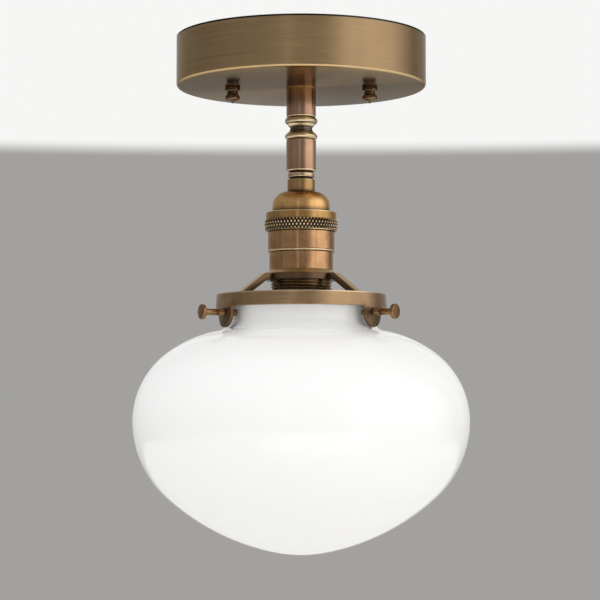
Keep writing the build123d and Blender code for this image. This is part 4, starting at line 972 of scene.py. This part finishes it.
thumb_brass = turned_metal("turned_thumbscrew_brass", "#a07a4f", "#755636", 0.25)
screw_pitch = 0.794
screw_turns = 12
screw_tip = 36.35
screw_length = 17.5
screw_crest = 1.75
screw_root = 1.52
shank_radius = 1.65
point_radius = screw_root - 0.25
point_length = 0.4
thread_start = screw_tip + point_length + 0.1
thread_end = thread_start + screw_turns * screw_pitch
shank_end = screw_tip + screw_length
disc_seat = shank_end + 0.05
disc_thickness = 1.9
disc_end = disc_seat + disc_thickness
disc_radius = 3.8
disc_round = 0.45
for side, angle in zip(("back", "left", "right"), arm_angles):
    lay = (Matrix.Rotation(math.radians(angle), 4, "Z") @ Matrix.Translation((0, 0, screw_axis * MM))
           @ Matrix.Rotation(math.radians(90), 4, "Y"))
    bm = outline_from(0, screw_tip)
    line_to(bm, point_radius, screw_tip)
    line_to(bm, screw_root, screw_tip + point_length)
    for turn in range(screw_turns):
        ridge = thread_start + turn * screw_pitch
        line_to(bm, screw_root, ridge)
        line_to(bm, screw_crest, ridge + screw_pitch * 0.42)
        line_to(bm, screw_crest, ridge + screw_pitch * 0.56)
    line_to(bm, screw_root, thread_end)
    line_to(bm, shank_radius, thread_end + 0.4)
    line_to(bm, shank_radius, shank_end)
    line_to(bm, 0, shank_end)
    turned(bm, 40)
    bmesh.ops.transform(bm, matrix=lay, verts=bm.verts)
    piece(f"screw_shank_{side}", bm, [thumb_brass], f"{side}_thumbscrew_travel",
          [f"thumbscrew_shank_{side}"])

    bm = outline_from(0, disc_seat)
    line_to(bm, disc_radius - disc_round, disc_seat)
    arc_about(bm, disc_radius - disc_round, disc_seat + disc_round, 90, 5)
    line_to(bm, disc_radius, disc_end - disc_round)
    arc_about(bm, disc_radius - disc_round, disc_end - disc_round, 90, 5)
    line_to(bm, 0, disc_end)
    turned(bm, 64)
    bmesh.ops.transform(bm, matrix=lay, verts=bm.verts)
    piece(f"screw_disc_{side}", bm, [thumb_brass], f"{side}_thumbscrew",
          [f"thumbscrew_head_{side}"])

# Opal glass globe
# Blown and cased white glass, about 3 mm thick: glossy, and faintly see-through at depth,
# so it glows evenly. The neck ends in a flared lip inside the holder's band.


def opal_glass():
    """Milky glass: light sinks in a few millimetres, under a clear fire-polished surface."""
    material, tree = new_material("opal_glass")
    place = add_node(tree, "TexCoord").outputs["Object"]
    waves = add_node(tree, "TexNoise", {"Vector": place, "Scale": 14.0, "Detail": 1.0})
    colour = blend(tree, waves, linear("#f6f6f5"), linear("#fafaf9"))
    bump = add_node(tree, "Bump", {"Height": waves, "Strength": 0.25, "Distance": 0.4 * MM})
    shader = add_node(tree, "BsdfPrincipled", {
        "Base Color": colour, "Roughness": 0.07, "IOR": 1.5,
        "Subsurface Weight": 0.35, "Subsurface Scale": 4 * MM, "Normal": bump})
    shader.inputs["Subsurface Radius"].default_value = (1.0, 0.95, 0.9)
    add_node(tree, "OutputMaterial", {0: shader})
    return material


glass_radius = 85.0
glass_wall = 3.0
glass_neck = 36.2
glass_lip = 40.9
lip_top = -133.75
lip_height = 2.6
lip_slope = 1.6
lip_round = 1.2
neck_fillet = 7.0
neck_low = screw_axis - 1.6
# The globe's outline is a row of arcs that meet without a corner. Each arc's radius is a
# share of the globe's, and a belly arc ends where it faces so many degrees above level.
bottom_round = 0.819
belly_arcs = ((1.343, -47.8), (0.620, -4.4), (0.507, 54.0))
shoulder_round = 0.734


def globe_arcs():
    """Centre, radius and end angles of each arc of the outside, from the bottom pole up."""
    width = belly_arcs[0][0] * math.cos(math.radians(belly_arcs[0][1]))
    for (share, start), (next_share, end) in zip(belly_arcs, belly_arcs[1:]):
        last = min(end, 0)
        width += next_share * (math.cos(math.radians(last)) - math.cos(math.radians(start)))
    first_end = -math.degrees(math.acos((1 - width) / (bottom_round - belly_arcs[0][0])))
    belt, belt_end = belly_arcs[-1]
    shoulder = shoulder_round * glass_radius
    turn = math.cos(math.radians(belt_end))
    belt_reach = glass_radius - belt * glass_radius * (1 - turn)
    reach = glass_neck + neck_fillet - belt_reach + shoulder * turn
    last_end = math.degrees(math.acos(reach / (shoulder + neck_fillet)))
    arcs = []
    centre = Vector((0, bottom_round * glass_radius))
    start = -90
    sections = [(bottom_round, first_end), *belly_arcs, (shoulder_round, last_end),
                (-neck_fillet / glass_radius, 0)]
    for (share, end), (next_share, _) in zip(sections, sections[1:] + [(0, 0)]):
        arcs.append((centre.copy(), share * glass_radius, start, end))
        step = (share - next_share) * glass_radius
        centre += Vector((math.cos(math.radians(end)), math.sin(math.radians(end)))) * step
        start = end
    return arcs


arcs = globe_arcs()
pole = neck_low - arcs[-1][0].y
bm = outline_from(0, pole)
for centre, radius, start, end in arcs:
    steps = max(8, int(abs(end - start) / 2.2))
    arc_about(bm, centre.x, centre.y + pole, end - start, steps)
line_to(bm, glass_neck, lip_top - lip_height - lip_slope)
line_to(bm, glass_lip, lip_top - lip_height)
line_to(bm, glass_lip, lip_top - lip_round)
arc_about(bm, glass_lip - lip_round, lip_top - lip_round, 90, 6)
line_to(bm, glass_lip - glass_wall, lip_top)
line_to(bm, glass_neck - glass_wall, lip_top - lip_height - lip_slope)
line_to(bm, glass_neck - glass_wall, neck_low)
for centre, radius, start, end in reversed(arcs):
    steps = max(8, int(abs(end - start) / 4))
    arc_about(bm, centre.x, centre.y + pole, start - end, steps)
line_to(bm, 0, pole)
piece("opal_globe", turned(bm, 160), [opal_glass()], "globe", ["glass_globe"])

# Leads
# Two insulated stranded leads from the terminals up the stem. They have some slack.


def plain_finish(name, colour, roughness, metallic, mottle, scale_mm):
    """A plain finish with a slight mottle in its colour and its shine."""
    material, tree = new_material(name)
    place = add_node(tree, "TexCoord").outputs["Object"]
    grain = add_node(tree, "TexNoise", {
        "Vector": place, "Scale": 1 / (scale_mm * MM), "Detail": 3.0, "Roughness": 0.6})
    tone = blend(tree, grain, linear(colour), linear(mottle))
    rough = ramp(tree, grain, 0.3, 0.7, roughness * 0.85, min(1.0, roughness * 1.2))
    bump = add_node(tree, "Bump", {"Height": grain, "Strength": 0.15, "Distance": 0.03 * MM})
    shader = add_node(tree, "BsdfPrincipled", {
        "Base Color": tone, "Metallic": metallic, "Roughness": rough, "Normal": bump})
    add_node(tree, "OutputMaterial", {0: shader})
    return material


lead_finishes = {
    "live_lead": (plain_finish("black_pvc", "#161616", 0.45, 0.0, "#222222", 1.5), "black_lead"),
    "neutral_lead": (plain_finish("white_pvc", "#e6e4de", 0.45, 0.0, "#d8d5cc", 1.5), "white_lead"),
}
for node, (material, slot) in lead_finishes.items():
    bm = bmesh.new()
    bm.from_mesh(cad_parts[node].data)
    bmesh.ops.remove_doubles(bm, verts=bm.verts, dist=1e-6)
    mesh = bpy.data.meshes.new(f"{node}_slack")
    bm.to_mesh(mesh)
    bm.free()
    mesh.shade_smooth()
    mesh.set_sharp_from_angle(angle=math.radians(40))
    mesh.materials.append(material)
    lead = bpy.data.objects.new(f"{node}_slack", mesh)
    scene.collection.objects.link(lead)
    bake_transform(lead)
    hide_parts(node)

# Pieces that keep their modelled shape
# Bracket, fixings, the lampholder's works and the bulb: stamped, pressed or moulded parts
# whose shapes are simple. Each gets the finish that its making leaves.

finishes = {
    "zinc_plated_steel": (plain_finish("zinc_plated_steel", "#b9bcbb", 0.35, 1.0, "#999d9c", 2.0), [
        "box_strap", "stud_strap", "canopy_screws", "stud_nuts", "canopy_nipple", "stem_nipple",
        "canopy_lock_washer", "cap_set_screw", "filament_supports"]),
    "rolled_brass": (plain_finish("rolled_brass", "#c9a765", 0.3, 1.0, "#b08d4e", 1.5), [
        "strap_eyelet", "canopy_lock_nut", "terminal_plates", "terminal_screws", "socket_rivets",
        "screw_shell", "centre_contact"]),
    "green_dyed_steel": (plain_finish("green_dyed_steel", "#1f7a44", 0.4, 0.6, "#16602f", 1.0),
                         ["earth_screw"]),
    "green_pvc": (plain_finish("green_pvc", "#1e6e34", 0.45, 0.0, "#195c2b", 1.5), ["earth_lead"]),
    "moulded_plastic": (plain_finish("moulded_orange_plastic", "#c8641e", 0.35, 0.0, "#b4571a", 0.8),
                        ["wire_connectors"]),
    "vulcanised_fibre": (plain_finish("vulcanised_fibre", "#6d5640", 0.8, 0.0, "#5a4632", 0.5),
                         ["insulating_liner"]),
    "glazed_porcelain": (plain_finish("glazed_porcelain", "#f0ece2", 0.12, 0.0, "#e6e1d4", 3.0),
                         ["porcelain_insert"]),
    "plated_bulb_base": (plain_finish("nickel_plated_base", "#c3c2bd", 0.25, 1.0, "#a9a8a2", 2.0),
                         ["bulb_base_shell"]),
    "vitrite": (plain_finish("black_vitrite", "#101012", 0.15, 0.0, "#1a1a1d", 2.0), ["bulb_insulator"]),
    "solder": (plain_finish("soft_solder", "#a8a9aa", 0.4, 1.0, "#8e8f90", 0.8), ["bulb_tip_contact"]),
    "phosphor": (plain_finish("yellow_phosphor", "#e0b04a", 0.6, 0.0, "#d2a03c", 0.6),
                 ["bulb_filaments"]),
}


def clear_glass():
    """Thin clear bulb glass, with a barely uneven surface."""
    material, tree = new_material("clear_bulb_glass")
    place = add_node(tree, "TexCoord").outputs["Object"]
    waves = add_node(tree, "TexNoise", {"Vector": place, "Scale": 90.0, "Detail": 1.0})
    bump = add_node(tree, "Bump", {"Height": waves, "Strength": 0.1, "Distance": 0.1 * MM})
    shader = add_node(tree, "BsdfPrincipled", {
        "Base Color": linear("#f7faf9"), "Roughness": 0.02, "IOR": 1.5, "Transmission Weight": 1.0,
        "Normal": bump})
    add_node(tree, "OutputMaterial", {0: shader})
    return material


finishes["clear_glass"] = (clear_glass(), ["bulb_glass", "bulb_stem"])
for material, nodes in finishes.values():
    for node in nodes:
        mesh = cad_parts[node].data
        mesh.materials.clear()
        mesh.materials.append(material)
